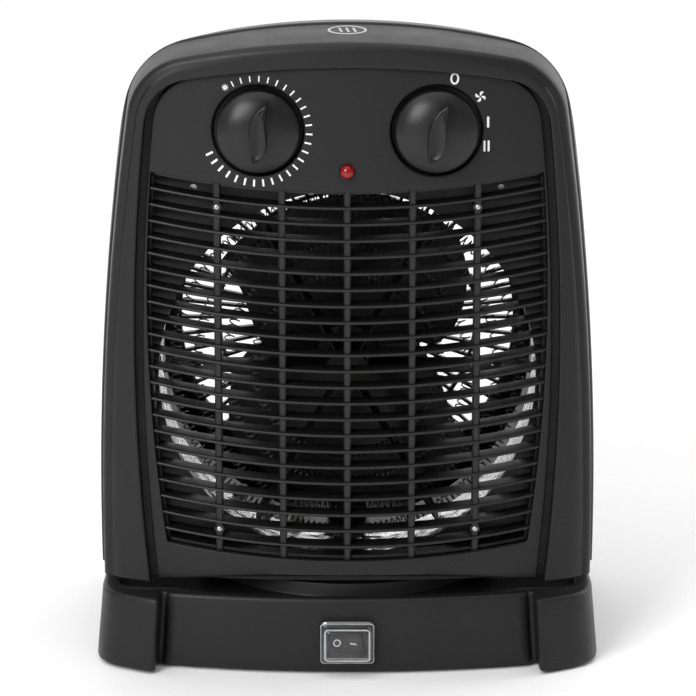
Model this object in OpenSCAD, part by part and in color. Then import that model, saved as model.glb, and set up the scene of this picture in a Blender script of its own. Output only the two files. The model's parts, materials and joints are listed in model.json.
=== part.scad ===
// Oscillating 2 kW fan heater: a swivelling upper housing on a low base.
// +Z is up, the front faces -Y and the origin is the centre of the footprint.

/* [Housing] */
// Half width of the front frame at its widest
frame_half_w = 99.6; // [97:0.2:102]
// Height of the top of the front frame
frame_top = 259.8; // [258:0.2:262]
// Height of the underside of the housing
housing_bottom = 36; // [36:0.1:36.4]
// How far the middle of the front panel stands in front of the swivel axis
panel_front = 68; // [67.5:0.1:68.5]
// Distance from the swivel axis back to the rear wall
housing_rear = 58; // [57:0.5:60]
// Wall thickness of the mouldings
wall = 2.4; // [2:0.1:2.6]

/* [Air outlet] */
// Number of curved bars in the outlet grille
bar_count = 22; // [16:1:24]
// Thickness of a grille bar
bar_t = 1.4; // [1.2:0.1:1.8]
// Radius of the round opening behind the grille
duct_r = 77; // [74:0.5:77]
// Height of the fan axis
fan_z = 118; // [117:0.5:119]

/* [Controls] */
// Distance of each knob from the middle
knob_x = 35.2; // [34:0.1:37]
// Height of the knob axes
knob_z = 223.5; // [222:0.1:225]
// Radius of a knob
knob_r = 16.4; // [15.5:0.1:17]

/* [Base] */
// Half width of the base at the floor
base_half_w = 103.4; // [102:0.1:105]
// Height of the top edge of the base
base_top = 31.5; // [31.3:0.1:31.7]
// Radius of the raised turntable under the housing
drum_r = 62; // [58:0.5:63]

/* [Swivel] */
// Radius of the bearing hole in the turntable
pivot_r = 30; // [29:0.5:31]
// Distance of the crank axis behind the swivel axis
crank_y = 30; // [29:0.5:31]
// Radius on which the crank pin turns
crank_r = 15; // [14:0.5:15.5]

/* [Hidden] */

$fn = 64;
black = [0.11, 0.11, 0.12];
dark = [0.07, 0.07, 0.08];
steel = [0.72, 0.73, 0.75];
white = [0.9, 0.9, 0.88];
mica = [0.2, 0.19, 0.17];
copper = [0.7, 0.4, 0.2];
eps = 0.01;

// Front outline of the housing, made of arcs: two sides, two shoulders and the top
side_r = 1230;
side_z = 55;
crown_r = 300;
shoulder_r = 27;
// Cross-sections of the housing: depth, growth of the outline, fall of its crown, added shoulder radius
front_sections = [[-76, -1.4, 0, 0], [-57, 0, 0, 0], [-30, 1.9, 0, 0]];
rear_sections = [
  [-36, 2.1, 0.1, 2], [-33, 2.6, 0.6, 5], [-12, 3.9, 4.7, 18], [10, 3.5, 7.4, 28], [28, 1.2, 8.9, 30],
  [41, -2.6, 9.4, 26], [50, -8, 8.5, 20], [55, -14, 6, 12], [housing_rear, -22, 2.4, 4]
];
split_y = -36;

// Curves of the front in plan: a shallow bulge, steeper across the pillars
bulge_r = 340;
frame_bulge_r = 430;
frame_proud = 2.5;
pillar_x = 75;
pillar_bend = 0.0072;

// Window in the front frame, and the groove round the panel that fills it
window_half_w = 85.5;
window_z = 130;
window_side_r = 880;
window_top = 249;
window_crown_r = 370;
window_corner_r = 20;
groove_w = 3;
flange_w = 4;
flange_y = -54;
flange_t = 2;
panel_t = 2.5;
lip_t = 1;

// Opening of the air outlet: straight-sided arcs with a smile above and below
outlet_half_w = 80.4;
outlet_side_r = 700;
outlet_z = 150;
outlet_bottom = 46;
outlet_top = 199;
smile_r = 470;
bar_top = 192.2;
bar_bottom = 51.6;
bar_depth = 10;
bar_setback = 0.8;
rib_w = 2.9;
rib_xs = [-52, -26, 0, 26, 52];
grille_screw_xz = [[-52, 191.8], [52, 191.8], [-52, 57.9], [52, 57.9]];

// Control area
recess_r = 18.2;
recess_floor = -62;
cup_t = 2;
knob_back = -62.4;
knob_front = -71.5;
grip_front = -80;
grip_length = 29;
grip_w = 9;
control_y = -57.6;
control_t = 1.2;
control_shaft_r = 3;
shaft_fit = 0.06;
thermostat_rest = 18;
selector_rest = 22;
pilot_z = 207.5;
pilot_r = 2.8;
control_screw_xz = [[-58, 214], [58, 214], [0, 234]];

// Air duct, heater and fan
plate_y = -44;
plate_t = 1.6;
plate_top = 204;
duct_t = 1.6;
duct_rear = 12;
frame_boss_xz = [[92, 60], [91.8, 120], [88.8, 180]];
case_screw_xz = [[62, 50], [62, 196]];
coil_y = -27;
coil_minor_r = 2.3;
low_radii = [38, 62];
high_radii = [50, 71];
bridge_t = 1.6;
motor_y = 20;
stack_len = 20;
rotor_r = 13;
shaft_r = 2.5;
blade_r = 66;
blade_pitch = 11;
motor_bolt_x = 24;

// Levels in the swivel, from the top down
plate_floor_t = 2.5;
drum_top = 34.5;
washer_t = 1.2;
pivot_fit = 0.06;
ring_gap = 0.3;
hub_bottom = drum_top - wall - ring_gap;
hub_r_in = 24;
ring_r = 36;
ring_t = 2.5;
arm_t = 2.5;
arm_bottom = hub_bottom - ring_t - arm_t;
pin_gap = 0.5;
pin_r = 3;
crank_bottom = 19;
crank_t = 3;
retaining_r = 27;
thirds = [60, 180, 300];

// Base
base_bottom = 1.5;
base_floor_t = 2;
base_front = 75;
base_rear = 79;
base_draft_x = 0.088;
base_draft_y = 0.065;
ledge_z = 28.5;
rim_w = 6;
ceiling = ledge_z - wall;
plate_top_z = base_bottom + base_floor_t;
base_boss_xy = [[-84, -40], [84, -40], [-84, 40], [84, 40], [-34, -58], [34, -58]];
feet_xy = [[-68, -44], [68, -44], [-68, 50], [68, 50]];
switch_z = 14.4;
rocker_y = -base_front + 2.2;
bush_x = 62;
bush_z = 15;
motor_ear_x = 28.5;

// ---- outlines ---------------------------------------------------------------

function arc(c, r, a0, a1, n) = [for (i = [0 : n]) let (a = a0 + (a1 - a0) * i / n) c + r * [cos(a), sin(a)]];
// Upper point where two circles on the plane meet
function meet(c1, r1, c2, r2) =
  let (d = norm(c2 - c1), u = (c2 - c1) / d, a = (d * d + r1 * r1 - r2 * r2) / (2 * d))
  let (h = sqrt(r1 * r1 - a * a), n = [-u[1], u[0]] * (u[0] > 0 ? 1 : -1))
  c1 + a * u + h * n;
function angle_of(v) = atan2(v[1], v[0]);
// Right half of an arched outline, from its bottom corner round to the middle of the top
function arched(half_w, mid_z, r_side, top, r_top, r_corner, bottom) =
  let (side = [half_w - r_side, mid_z], crown = [0, top - r_top])
  let (k = meet(side, r_side - r_corner, crown, r_top - r_corner))
  let (a0 = asin((bottom - mid_z) / r_side), a1 = angle_of(k - side), a2 = angle_of(k - crown))
  concat(
    arc(side, r_side, a0, a1, 10),
    arc(k, r_corner, a1 + (a2 - a1) / 8, a2, 7),
    arc(crown, r_top, a2 + (90 - a2) / 8, 90, 7)
  );
// Adds the mirror image of a right half
function whole(half) = concat(
  half, [for (i = [len(half) - 1 : -1 : 0]) if (half[i][0] > eps) [-half[i][0], half[i][1]]]
);
function housing_outline(g, bottom, fall = 0, soft = 0) =
  let (top = frame_top + g - fall, corner = shoulder_r + g / 2 + soft)
  whole(arched(frame_half_w + g, side_z, side_r + g, top, crown_r + g - fall, corner, bottom));
// The same cross-sections, their rear ones moved forward by d
function forward(sections, d) = [for (s = sections) [s[0] - (s[0] > 0 ? d : 1), s[1], s[2], s[3]]];
function window_outline(g, bottom = housing_bottom) = whole(arched(
  window_half_w + g, window_z, window_side_r, window_top + g / 3, window_crown_r, window_corner_r, bottom
));
function smile(x, z) = z + smile_r - sqrt(smile_r * smile_r - x * x);
function outlet_side(z) =
  outlet_half_w - outlet_side_r + sqrt(outlet_side_r * outlet_side_r - (z - outlet_z) * (z - outlet_z));
function outlet_outline(g) = whole(concat(
  [for (i = [0 : 8]) let (x = 73.2 * i / 8) [x, smile(x, outlet_bottom) - g]],
  [for (z = [53 : 10 : 203]) [outlet_side(z) + g, z]],
  [for (i = [8 : -1 : 0]) let (x = 78.2 * i / 8) [x, smile(x, outlet_top) + g]]
));
// Front surfaces in plan
function bulge(x) = bulge_r - sqrt(bulge_r * bulge_r - x * x);
function frame_face(x) =
  x * x / (2 * frame_bulge_r) + pillar_bend * pow(max(0, abs(x) - pillar_x), 2) - panel_front - frame_proud;

// ---- shared shapes ----------------------------------------------------------

// Turns a drawing on the X-Z plane into a slab between two depths
module slab(y0, y1) {
  translate([0, y1, 0])
    rotate([90, 0, 0])
      linear_extrude(y1 - y0)
        children();
}

module rod(r, y0, y1) {
  slab(y0, y1)
    circle(r);
}

module at(p) {
  translate([p[0], 0, p[1]])
    children();
}

module at_both(points) {
  for (p = points)
    for (s = [-1, 1])
      at([s * p[0], p[1]])
        children();
}

module tube(r_out, r_in, h) {
  difference() {
    cylinder(r = r_out, h = h);
    translate([0, 0, -1])
      cylinder(r = r_in, h = h + 2);
  }
}

module pipe(r_out, r_in, y0, y1) {
  difference() {
    rod(r_out, y0, y1);
    rod(r_in, y0 - 1, y1 + 1);
  }
}

module block(size, centre) {
  translate(centre - size / 2)
    cube(size);
}

// Closed skin through cross-sections of the housing, shrunk by an inset
module housing_loft(sections, inset, bottom = housing_bottom) {
  rings = [for (s = sections) housing_outline(s[1] - inset, bottom, s[2], s[3])];
  n = len(rings[0]);
  last = len(sections) - 1;
  sides = [
    for (k = [0 : last - 1])
      for (i = [0 : n - 1])
        let (j = (i + 1) % n)
          each [[k * n + i, k * n + j, (k + 1) * n + i], [k * n + j, (k + 1) * n + j, (k + 1) * n + i]]
  ];
  polyhedron(
    [for (k = [0 : last]) for (p = rings[k]) [p[0], sections[k][0], p[1]]],
    concat(sides, [[for (i = [n - 1 : -1 : 0]) i], [for (i = [0 : n - 1]) last * n + i]])
  );
}

// Everything behind the curved face of the frame, set back by an inset
module behind_frame_face(inset) {
  reach = 110;
  linear_extrude(frame_top + 10)
    polygon(concat(
      [for (x = [-reach : 5 : reach]) [x, frame_face(x) + inset]],
      [[reach, housing_rear + 5], [-reach, housing_rear + 5]]
    ));
}

// Curved wall that follows the panel's bulge, between two setbacks from its face
module panel_wall(back0, back1) {
  intersection() {
    translate([0, bulge_r - panel_front, 0])
      difference() {
        cylinder(r = bulge_r - back0, h = frame_top, $fn = 720);
        translate([0, 0, -1])
          cylinder(r = bulge_r - back1, h = frame_top + 2, $fn = 720);
      }
    translate([-100, -panel_front - 1, 0])
      cube([200, 40, frame_top]);
  }
}

// Screw along Y with its head on the side of the start
module screw_y(y0, y1, r, head_r, head_t) {
  side = sign(y1 - y0);
  rod(head_r, min(y0, y0 - side * head_t), max(y0, y0 - side * head_t));
  rod(r, min(y0, y1), max(y0, y1));
}

// ---- base -------------------------------------------------------------------

module base_plan() {
  rear_r = 34;
  foot_edge = 78.4;
  polygon(whole(concat(
    [for (x = [0 : 5 : 75]) [x, bulge(x) - base_front]],
    [[75.6, -64.4], [foot_edge - 0.4, -64.6], [foot_edge, -74.8]],
    [[foot_edge + 1, -base_front - 0.8], [82, -75.2]],
    [[96, -67.4], [100, -63.6], [102.4, -58], [base_half_w, -50]],
    arc([base_half_w - rear_r - 1.5, base_rear - rear_r], rear_r, 0, 90, 9),
    [[0, base_rear]]
  )));
}

// Slice of the base between two heights; the sides lean in as they rise
module base_slice(inset, z0, z1) {
  function lean(z) = [
    1 - base_draft_x * (z - base_bottom) / base_half_w, 1 - base_draft_y * (z - base_bottom) / base_front
  ];
  translate([0, 0, z0])
    linear_extrude(z1 - z0, scale = [lean(z1)[0] / lean(z0)[0], lean(z1)[1] / lean(z0)[1]], slices = 1)
      scale(lean(z0))
        offset(delta = -inset)
          base_plan();
}

module at_base(points, z) {
  for (p = points)
    translate([p[0], p[1], z])
      children();
}

module base_shell() color(black) {
  difference() {
    union() {
      difference() {
        base_slice(0, base_bottom, base_top);
        base_slice(wall, base_bottom - 1, ceiling);
        base_slice(rim_w, ledge_z, base_top + 1);
      }
      translate([0, 0, ceiling])
        cylinder(r = drum_r, h = drum_top - ceiling);
      at_base(base_boss_xy, plate_top_z)
        cylinder(r = 4, h = ceiling - plate_top_z + 0.5);
    }
    translate([0, 0, ceiling - 1])
      cylinder(r = drum_r - wall, h = drum_top - wall - ceiling + 1);
    cylinder(r = pivot_r, h = drum_top + 1);
    at_base(base_boss_xy, 0)
      cylinder(r = 1.25, h = 16);
    block([19.4, 20, 13.4], [0, -base_front, switch_z]);
    at([bush_x, bush_z]) {
      rod(6, base_rear - 12, base_rear + 5);
      rod(8.2, base_rear - 3.2, base_rear + 5);
    }
  }
}

module base_plate() color(dark) {
  vent_pitch = 5;
  difference() {
    union() {
      base_slice(wall + 0.2, base_bottom, plate_top_z);
      for (s = [-1, 1])
        translate([s * motor_ear_x, crank_y, base_bottom])
          cylinder(r = 3.4, h = 14);
    }
    at_base(base_boss_xy, 0) {
      cylinder(r = 1.6, h = 10);
      cylinder(r = 3.3, h = base_bottom + 1);
    }
    for (s = [-1, 1])
      translate([s * motor_ear_x, crank_y, 6])
        cylinder(r = 1.1, h = 20);
    at_base(feet_xy, 0)
      cylinder(r = 2.5, h = 10);
    for (i = [-3 : 3])
      block([34, 2, 10], [0, i * vent_pitch - 30, 2]);
  }
}

module rubber_feet() color(dark) {
  at_base(feet_xy, 0) {
    cylinder(r = 8, h = base_bottom);
    cylinder(r = 2.5, h = plate_top_z);
  }
}

module base_screws() color(steel) {
  at_base(base_boss_xy, base_bottom - 0.9)
    difference() {
      union() {
        cylinder(r = 3, h = 1.9);
        cylinder(r = 1.25, h = 12);
      }
      block([4, 0.8, 1.2], [0, 0, 0]);
      block([0.8, 4, 1.2], [0, 0, 0]);
    }
}

module cord_inlet_bush() color(dark) {
  at([bush_x, bush_z])
    difference() {
      union() {
        rod(6, base_rear - 8, base_rear);
        rod(8, base_rear - 3.2, base_rear + 2.3);
      }
      rod(3.4, base_rear - 9, base_rear + 5);
    }
}

module rocker_switch_body() color(dark) {
  difference() {
    union() {
      block([21.2, 1.5, 15.4], [0, -base_front - 0.85, switch_z]);
      block([19.2, 22, 13.2], [0, -base_front + 10.8, switch_z]);
      for (x = [-6, 0, 6])
        block([0.8, 8, 5], [x, -base_front + 25, switch_z]);
    }
    block([16.4, 14, 10.6], [0, -base_front + 1, switch_z]);
    translate([0, rocker_y, switch_z - 6])
      cylinder(r = 1.06, h = 12);
  }
}

// The rocker turns about an upright pin, with its left end pressed in
module rocker() color(black) {
  tilt = -10;
  dish_r = 13;
  translate([0, rocker_y, switch_z])
    rotate([0, 0, tilt]) {
      difference() {
        block([13.6, 8.6, 9.8], [0, -1.9, 0]);
        translate([0, -dish_r - 4.6, -6])
          cylinder(r = dish_r, h = 12);
        for (s = [-1, 1])
          translate([s * 7.4, 4.4, -6])
            cylinder(r = 5, h = 12);
      }
      translate([0, 0, -5.9])
        cylinder(r = 1, h = 11.8);
    }
}

// Clear hood over the rocker, held under the switch's rim
module switch_boot() color([0.85, 0.87, 0.9, 0.35]) {
  boot_front = -81.3;
  skin = 0.8;
  rim_y = -base_front - 1.6;
  size = [22.3, rim_y - boot_front, 17.5];
  centre = [0, (rim_y + boot_front) / 2, switch_z];
  difference() {
    block(size, centre);
    block(size - [2 * skin, 0, 2 * skin], centre + [0, skin, 0]);
  }
}

module oscillation_motor() color(steel) {
  can_top = 17.4;
  translate([0, crank_y, 0]) {
    translate([0, 0, plate_top_z])
      cylinder(r = 24.5, h = can_top - plate_top_z);
    difference() {
      block([66, 9, 1.4], [0, 0, 16.2]);
      for (s = [-1, 1])
        translate([s * motor_ear_x, 0, 10])
          cylinder(r = 1.7, h = 10);
    }
    block([12, 8, 9], [0, 26, plate_top_z + 4.5]);
  }
}

module oscillation_motor_screws() color(steel) {
  for (s = [-1, 1])
    translate([s * motor_ear_x, crank_y, 0]) {
      translate([0, 0, 16.9])
        cylinder(r = 2.8, h = 1.6);
      translate([0, 0, 8])
        cylinder(r = 1.1, h = 9);
    }
}

// Crank on the motor's shaft; its pin stops just short of the slotted arm
module oscillation_crank() color(white) {
  translate([0, crank_y, 0]) {
    translate([0, 0, crank_bottom])
      cylinder(r = crank_r + pin_r + 1, h = crank_t);
    translate([0, 0, 17.8])
      cylinder(r = 3.5, h = 2);
    translate([0, crank_r, crank_bottom])
      cylinder(r = pin_r, h = arm_bottom - pin_gap - crank_bottom);
  }
}

module glide_washer() color(white) {
  translate([0, 0, drum_top])
    tube(44, 31, washer_t);
}

module terminal_block() color(white) {
  difference() {
    block([16, 34, 12], [-58, -4, plate_top_z + 6]);
    for (y = [-14, -4, 6]) {
      translate([-58, y, 9])
        cylinder(r = 2.2, h = 10);
      translate([-70, y, 8])
        rotate([0, 90, 0])
          cylinder(r = 1.5, h = 30);
    }
  }
}

module tilt_switch() color(dark) {
  block([20, 26, 16], [58, -6, plate_top_z + 8]);
  for (y = [-12, 0])
    block([0.8, 5, 4], [58, y, plate_top_z + 17.9]);
}

// ---- swivel -----------------------------------------------------------------

// Floor of the housing, with the hub that turns in the base
module swivel_plate() color(black) {
  difference() {
    union() {
      intersection() {
        union() {
          intersection() {
            housing_loft(front_sections, wall);
            behind_frame_face(wall + panel_t + 3.5);
          }
          housing_loft(forward(rear_sections, wall + 0.1), wall + 0.1);
        }
        translate([-150, -100, housing_bottom])
          cube([300, 200, plate_floor_t]);
      }
      translate([0, 0, hub_bottom])
        cylinder(r = pivot_r - pivot_fit, h = housing_bottom - hub_bottom + 1);
    }
    slab(-80, flange_y + flange_t + 0.3)
      difference() {
        polygon(window_outline(wall + 0.3, housing_bottom - 1));
        polygon(window_outline(-flange_w - 0.3, housing_bottom - 2));
      }
    cylinder(r = hub_r_in, h = 60);
    for (a = thirds)
      rotate(a)
        translate([retaining_r, 0, 0])
          cylinder(r = 1.2, h = housing_bottom + 1);
  }
}

module retaining_ring() color(steel) {
  difference() {
    translate([0, 0, hub_bottom - ring_t])
      tube(ring_r, hub_r_in, ring_t);
    for (a = thirds)
      rotate(a)
        translate([retaining_r, 0, 0])
          cylinder(r = 1.5, h = 60);
  }
}

// Slotted arm that turns with the housing; the crank pin runs below its slot
module swing_arm() color(steel) {
  slot_half_w = pin_r + 0.4;
  slot_length = 2 * (crank_r + pin_r + 1);
  slot_mid = crank_y;
  translate([0, 0, arm_bottom])
    difference() {
      union() {
        tube(ring_r, hub_r_in, arm_t);
        block([2 * slot_half_w + 10, slot_length + 6, arm_t], [0, slot_mid, arm_t / 2]);
      }
      for (a = thirds)
        rotate(a)
          translate([retaining_r, 0, -1])
            cylinder(r = 1.5, h = 10);
      block([2 * slot_half_w, slot_length, 3 * arm_t], [0, slot_mid, 0]);
    }
}

module retaining_screws() color(steel) {
  for (a = thirds)
    rotate(a)
      translate([retaining_r, 0, arm_bottom]) {
        translate([0, 0, -1.6])
          cylinder(r = 2.6, h = 1.6);
        cylinder(r = 1.2, h = 9);
      }
}

// ---- housing ----------------------------------------------------------------

module front_frame() color(black) {
  difference() {
    union() {
      difference() {
        intersection() {
          housing_loft(front_sections, 0);
          behind_frame_face(0);
        }
        intersection() {
          housing_loft(front_sections, wall, housing_bottom - 1);
          behind_frame_face(wall);
        }
      }
      intersection() {
        behind_frame_face(0);
        slab(-80, flange_y + flange_t)
          polygon(window_outline(wall));
      }
      at_both(frame_boss_xz)
        rod(2.9, flange_y - 2, plate_y);
    }
    intersection() {
      translate([0, 0, -1])
        slab(-80, flange_y)
          polygon(window_outline(0, housing_bottom - 1));
      translate([-100, -80, 0])
        cube([200, 80, 300]);
    }
    slab(-80, 0)
      polygon(window_outline(-flange_w, housing_bottom - 1));
    at_both(frame_boss_xz)
      rod(1.2, flange_y - 1, plate_y + 1);
    translate([-150, split_y, 0])
      cube([300, 100, 300]);
  }
}

// Depth of the blind end of a control screw's hole
function screw_tip(p) = bulge(p[0]) - panel_front + 1.4;

// Fascia with the two knob recesses, in one piece with the surround of the air outlet
module front_panel() color(black) {
  difference() {
    union() {
      intersection() {
        panel_wall(0, panel_t);
        slab(-80, 0)
          polygon(window_outline(-groove_w));
      }
      intersection() {
        panel_wall(0.5, 18);
        slab(-80, flange_y)
          difference() {
            polygon(window_outline(-groove_w));
            polygon(window_outline(-groove_w - lip_t, housing_bottom - 1));
          }
      }
      intersection() {
        panel_wall(0.5, 12);
        at_both([[knob_x, knob_z]])
          rod(recess_r + cup_t, -80, recess_floor + cup_t);
      }
      for (p = control_screw_xz)
        intersection() {
          panel_wall(0.5, 18);
          at(p)
            rod(3, -80, control_y);
        }
    }
    slab(-80, 0)
      polygon(outlet_outline(0));
    at_both([[knob_x, knob_z]]) {
      rod(recess_r, -80, recess_floor);
      rod(4, -80, 0);
    }
    at([0, pilot_z])
      rod(pilot_r, -80, 0);
    for (p = control_screw_xz)
      at(p)
        rod(1.1, screw_tip(p), 0);
  }
}

// Curved plate in the outlet, between two setbacks from the panel's face
module grille_plate(back0, back1) {
  xs = [for (i = [-8 : 8]) (outlet_half_w + 2) * i / 8];
  linear_extrude(outlet_top + 10)
    polygon(concat(
      [for (x = xs) [x, bulge(x) - panel_front + back0]],
      [for (i = [16 : -1 : 0]) [xs[i], bulge(xs[i]) - panel_front + back1]]
    ));
}

// Air gap between two bars and two ribs; both its long edges sag like the bars
module air_gap(xl, xr, x_top, z0, z1) {
  polygon(concat(
    [for (i = [0 : 3]) let (x = xl + (xr - xl) * i / 3) [x, smile(x, z0)]],
    [for (i = [3 : -1 : 0]) let (x = xl + (x_top - xl) * i / 3) [x, smile(x, z1)]]
  ));
}

module outlet_grille() color(black) {
  pitch = (bar_top - bar_bottom) / (bar_count - 1);
  gap = 0.15;
  rim = gap + 1.5;
  bar_zs = [for (i = [0 : bar_count - 1]) bar_bottom + i * pitch];
  lows = concat([outlet_bottom + rim], [for (z = bar_zs) z + bar_t / 2]);
  highs = concat([for (z = bar_zs) z - bar_t / 2], [outlet_top - rim]);
  side_sag = smile(outlet_half_w, 0);
  rib_half = rib_w / 2;
  difference() {
    union() {
      difference() {
        intersection() {
          grille_plate(bar_setback, bar_setback + bar_depth);
          slab(-80, 0)
            polygon(outlet_outline(-gap));
        }
        slab(-80, 0)
          for (i = [0 : bar_count]) {
            for (k = [0 : 3])
              let (x = rib_xs[k + 1] - rib_half)
                air_gap(rib_xs[k] + rib_half, x, x, lows[i], highs[i]);
            for (s = [-1, 1])
              scale([s, 1])
                air_gap(
                  rib_xs[4] + rib_half,
                  outlet_side(lows[i] + side_sag) - rim,
                  outlet_side(highs[i] + side_sag) - rim,
                  lows[i],
                  highs[i]
                );
          }
      }
      for (p = grille_screw_xz)
        at(p)
          rod(2.2, -58.5, plate_y);
    }
    for (p = grille_screw_xz)
      at(p)
        rod(0.9, -80, plate_y + 1);
  }
}

module grille_screws() color(steel) {
  for (p = grille_screw_xz)
    at(p)
      screw_y(bar_setback - panel_front + bulge(p[0]) - 0.1, plate_y + plate_t + 3, 0.85, 1.35, 0.7);
}

module hand_recess(grow) {
  block([90 + 2 * grow, 24 + grow + 6, 22 + 2 * grow], [0, housing_rear - 24 - grow + (30 + grow) / 2, 218]);
}

module rear_shell() color(black) {
  boss_r = 4.2;
  difference() {
    union() {
      difference() {
        housing_loft(rear_sections, 0);
        housing_loft(forward(rear_sections, wall), wall, housing_bottom - 1);
      }
      intersection() {
        housing_loft(rear_sections, 0.5);
        union() {
          hand_recess(wall - 0.4);
          at_both(case_screw_xz)
            rod(boss_r, plate_y + 14.2, housing_rear);
        }
      }
    }
    hand_recess(0);
    at_both(case_screw_xz) {
      rod(3.3, -18, housing_rear + 1);
      rod(1.6, plate_y, housing_rear);
    }
    at([0, fan_z])
      rod(duct_r - 1.6, 50, housing_rear + 1);
  }
}

module rear_grille() color(black) {
  spokes = 60;
  outer = duct_r - 1.7;
  rings = [20, 38, 56];
  flange_half_w = 68;
  front = housing_rear - wall - 1.6;
  spoke_t = housing_rear - 1 - front;
  at([0, fan_z]) {
    intersection() {
      pipe(duct_r + 1.4, outer - 3, front, housing_rear - wall);
      block([2 * flange_half_w, 20, 200], [0, housing_rear, 0]);
    }
    pipe(outer, outer - 3, front, housing_rear - 0.6);
    for (r = rings)
      pipe(r + 0.8, r - 0.8, front, housing_rear - 0.8);
    rod(12, front, housing_rear - 0.8);
    for (i = [0 : spokes - 1])
      rotate([0, i * 360 / spokes, 0])
        block([1.3, spoke_t, outer - 20], [0, front + spoke_t / 2, (outer + 18) / 2]);
    for (i = [0 : 11])
      rotate([0, i * 30, 0])
        block([1.3, spoke_t, 10], [0, front + spoke_t / 2, 15.5]);
  }
}

module case_screws() color(steel) {
  at_both(case_screw_xz)
    screw_y(-18, plate_y + 4, 1.5, 3, 2);
}

// ---- air duct and heater ----------------------------------------------------

module duct_plate() color(dark) {
  lug = 10;
  difference() {
    union() {
      intersection() {
        housing_loft(front_sections, wall + 0.4, housing_bottom + plate_floor_t + 0.3);
        translate([-120, plate_y, 0])
          cube([240, plate_t, plate_top]);
      }
      at([0, fan_z])
        pipe(duct_r + 0.6 + duct_t, duct_r + 0.6, plate_y + plate_t / 2, duct_rear);
      for (s = [-1, 1])
        intersection() {
          block([16, 4, lug], [0, duct_rear - 2, fan_z + s * (duct_r - lug / 2 + 1)]);
          at([0, fan_z])
            rod(duct_r + 1, 0, duct_rear);
        }
      at_both(case_screw_xz)
        rod(4, plate_y + plate_t / 2, plate_y + 14);
    }
    at([0, fan_z])
      rod(duct_r, plate_y - 1, plate_y + plate_t + 0.1);
    at_both(case_screw_xz)
      rod(1.5, plate_y - 1, plate_y + 15);
    at_both(frame_boss_xz)
      rod(1.6, plate_y - 1, plate_y + 15);
    for (p = grille_screw_xz)
      at(p)
        rod(0.9, plate_y - 1, plate_y + 15);
  }
}

module duct_plate_screws() color(steel) {
  at_both(frame_boss_xz)
    screw_y(plate_y + plate_t, flange_y + 1, 1.2, 2.6, 1.6);
}

module reflector_ring() color(steel) {
  at([0, fan_z])
    pipe(duct_r + 0.5, duct_r - 0.1, plate_y + plate_t + 0.2, -14);
}

module coil(r, minor) {
  at([0, fan_z])
    translate([0, coil_y, 0])
      rotate([90, 0, 0])
        rotate_extrude()
          translate([r, 0])
            circle(minor);
}

// Crossed boards with square slots for the coils, held by a ceramic core
module mica_boards() color(mica) {
  slot = 2 * coil_minor_r + 0.2;
  core_r = 9;
  board = duct_r - 1.5 - core_r + 2;
  at([0, fan_z]) {
    slab(coil_y - 12, coil_y + 12)
      circle(core_r, $fn = 12);
    for (a = [0 : 60 : 300])
      rotate([0, a, 0])
        difference() {
          block([board, 22, 0.8], [core_r - 2 + board / 2, coil_y, 0]);
          for (r = concat(low_radii, high_radii))
            block([slot, slot, 2], [r, coil_y, 0]);
        }
  }
}

module heating_coil_low() color(steel) {
  for (r = low_radii)
    coil(r, coil_minor_r);
}

module heating_coil_high() color(steel) {
  for (r = high_radii)
    coil(r, coil_minor_r);
}

module ceramic_bushes() color(white) {
  for (a = [196, 206, 216])
    at([0, fan_z])
      rotate([0, a, 0])
        translate([0, 0, duct_r + 0.6 - 2.4])
          pipe(2.4, 1, -13, -3);
}

module thermal_cutout() color(steel) {
  at([-43, 197]) {
    rod(7, plate_y + plate_t + 4, plate_y + plate_t + 7);
    rod(8.5, plate_y + plate_t + 1, plate_y + plate_t + 4);
    block([5, 8, 0.8], [-4, plate_y + plate_t + 10, 0]);
    block([5, 8, 0.8], [4, plate_y + plate_t + 10, 0]);
    block([24, 1, 8], [0, plate_y + plate_t + 0.5, 0]);
  }
}

module thermal_fuse() color(steel) {
  translate([-5.5, coil_y + 13.8, fan_z + 69.5]) {
    rotate([0, 90, 0])
      cylinder(r = 1.8, h = 11);
    translate([-6, 0, 0])
      rotate([0, 90, 0])
        cylinder(r = 0.5, h = 23);
  }
}

// ---- fan --------------------------------------------------------------------

module motor_bridge() color(steel) {
  at([0, fan_z])
    difference() {
      union() {
        block([16, bridge_t, 2 * duct_r], [0, duct_rear + bridge_t / 2, 0]);
        block([58, bridge_t, 18], [0, duct_rear + bridge_t / 2, 0]);
      }
      rod(8, duct_rear - 1, duct_rear + 3);
      for (s = [-1, 1])
        at([s * motor_bolt_x, 0])
          rod(1.6, duct_rear - 1, duct_rear + 3);
    }
}

module motor_stator() color(steel) {
  at([0, fan_z])
    difference() {
      block([62, stack_len, 62], [0, motor_y + stack_len / 2, -6]);
      rod(rotor_r + 0.4, motor_y - 1, motor_y + stack_len + 1);
      block([34, stack_len + 2, 8], [0, motor_y + stack_len / 2, -22]);
      for (s = [-1, 1])
        at([s * motor_bolt_x, 0])
          rod(1.6, motor_y - 1, motor_y + stack_len + 1);
    }
}

module motor_coil() color(copper) {
  at([0, fan_z])
    difference() {
      block([32, stack_len + 10, 25], [0, motor_y + stack_len / 2, -31.3]);
      block([40, stack_len + 0.1, 11.1], [0, motor_y + stack_len / 2, -31.5]);
    }
}

module motor_brackets() color(steel) {
  at([0, fan_z])
    for (y = [motor_y - 3.6, motor_y + stack_len + 2])
      difference() {
        union() {
          block([58, 1.6, 14], [0, y + 0.8, 0]);
          rod(8, y - 1.4, y + 2.4);
          for (s = [-1, 1])
            at([s * motor_bolt_x, 0])
              rod(
                3.6,
                y < motor_y ? duct_rear + bridge_t : motor_y + stack_len,
                y < motor_y ? motor_y : y + 0.8
              );
        }
        rod(5, y - 3, y + 4);
        for (s = [-1, 1])
          at([s * motor_bolt_x, 0])
            rod(1.6, 0, 60);
      }
}

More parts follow.
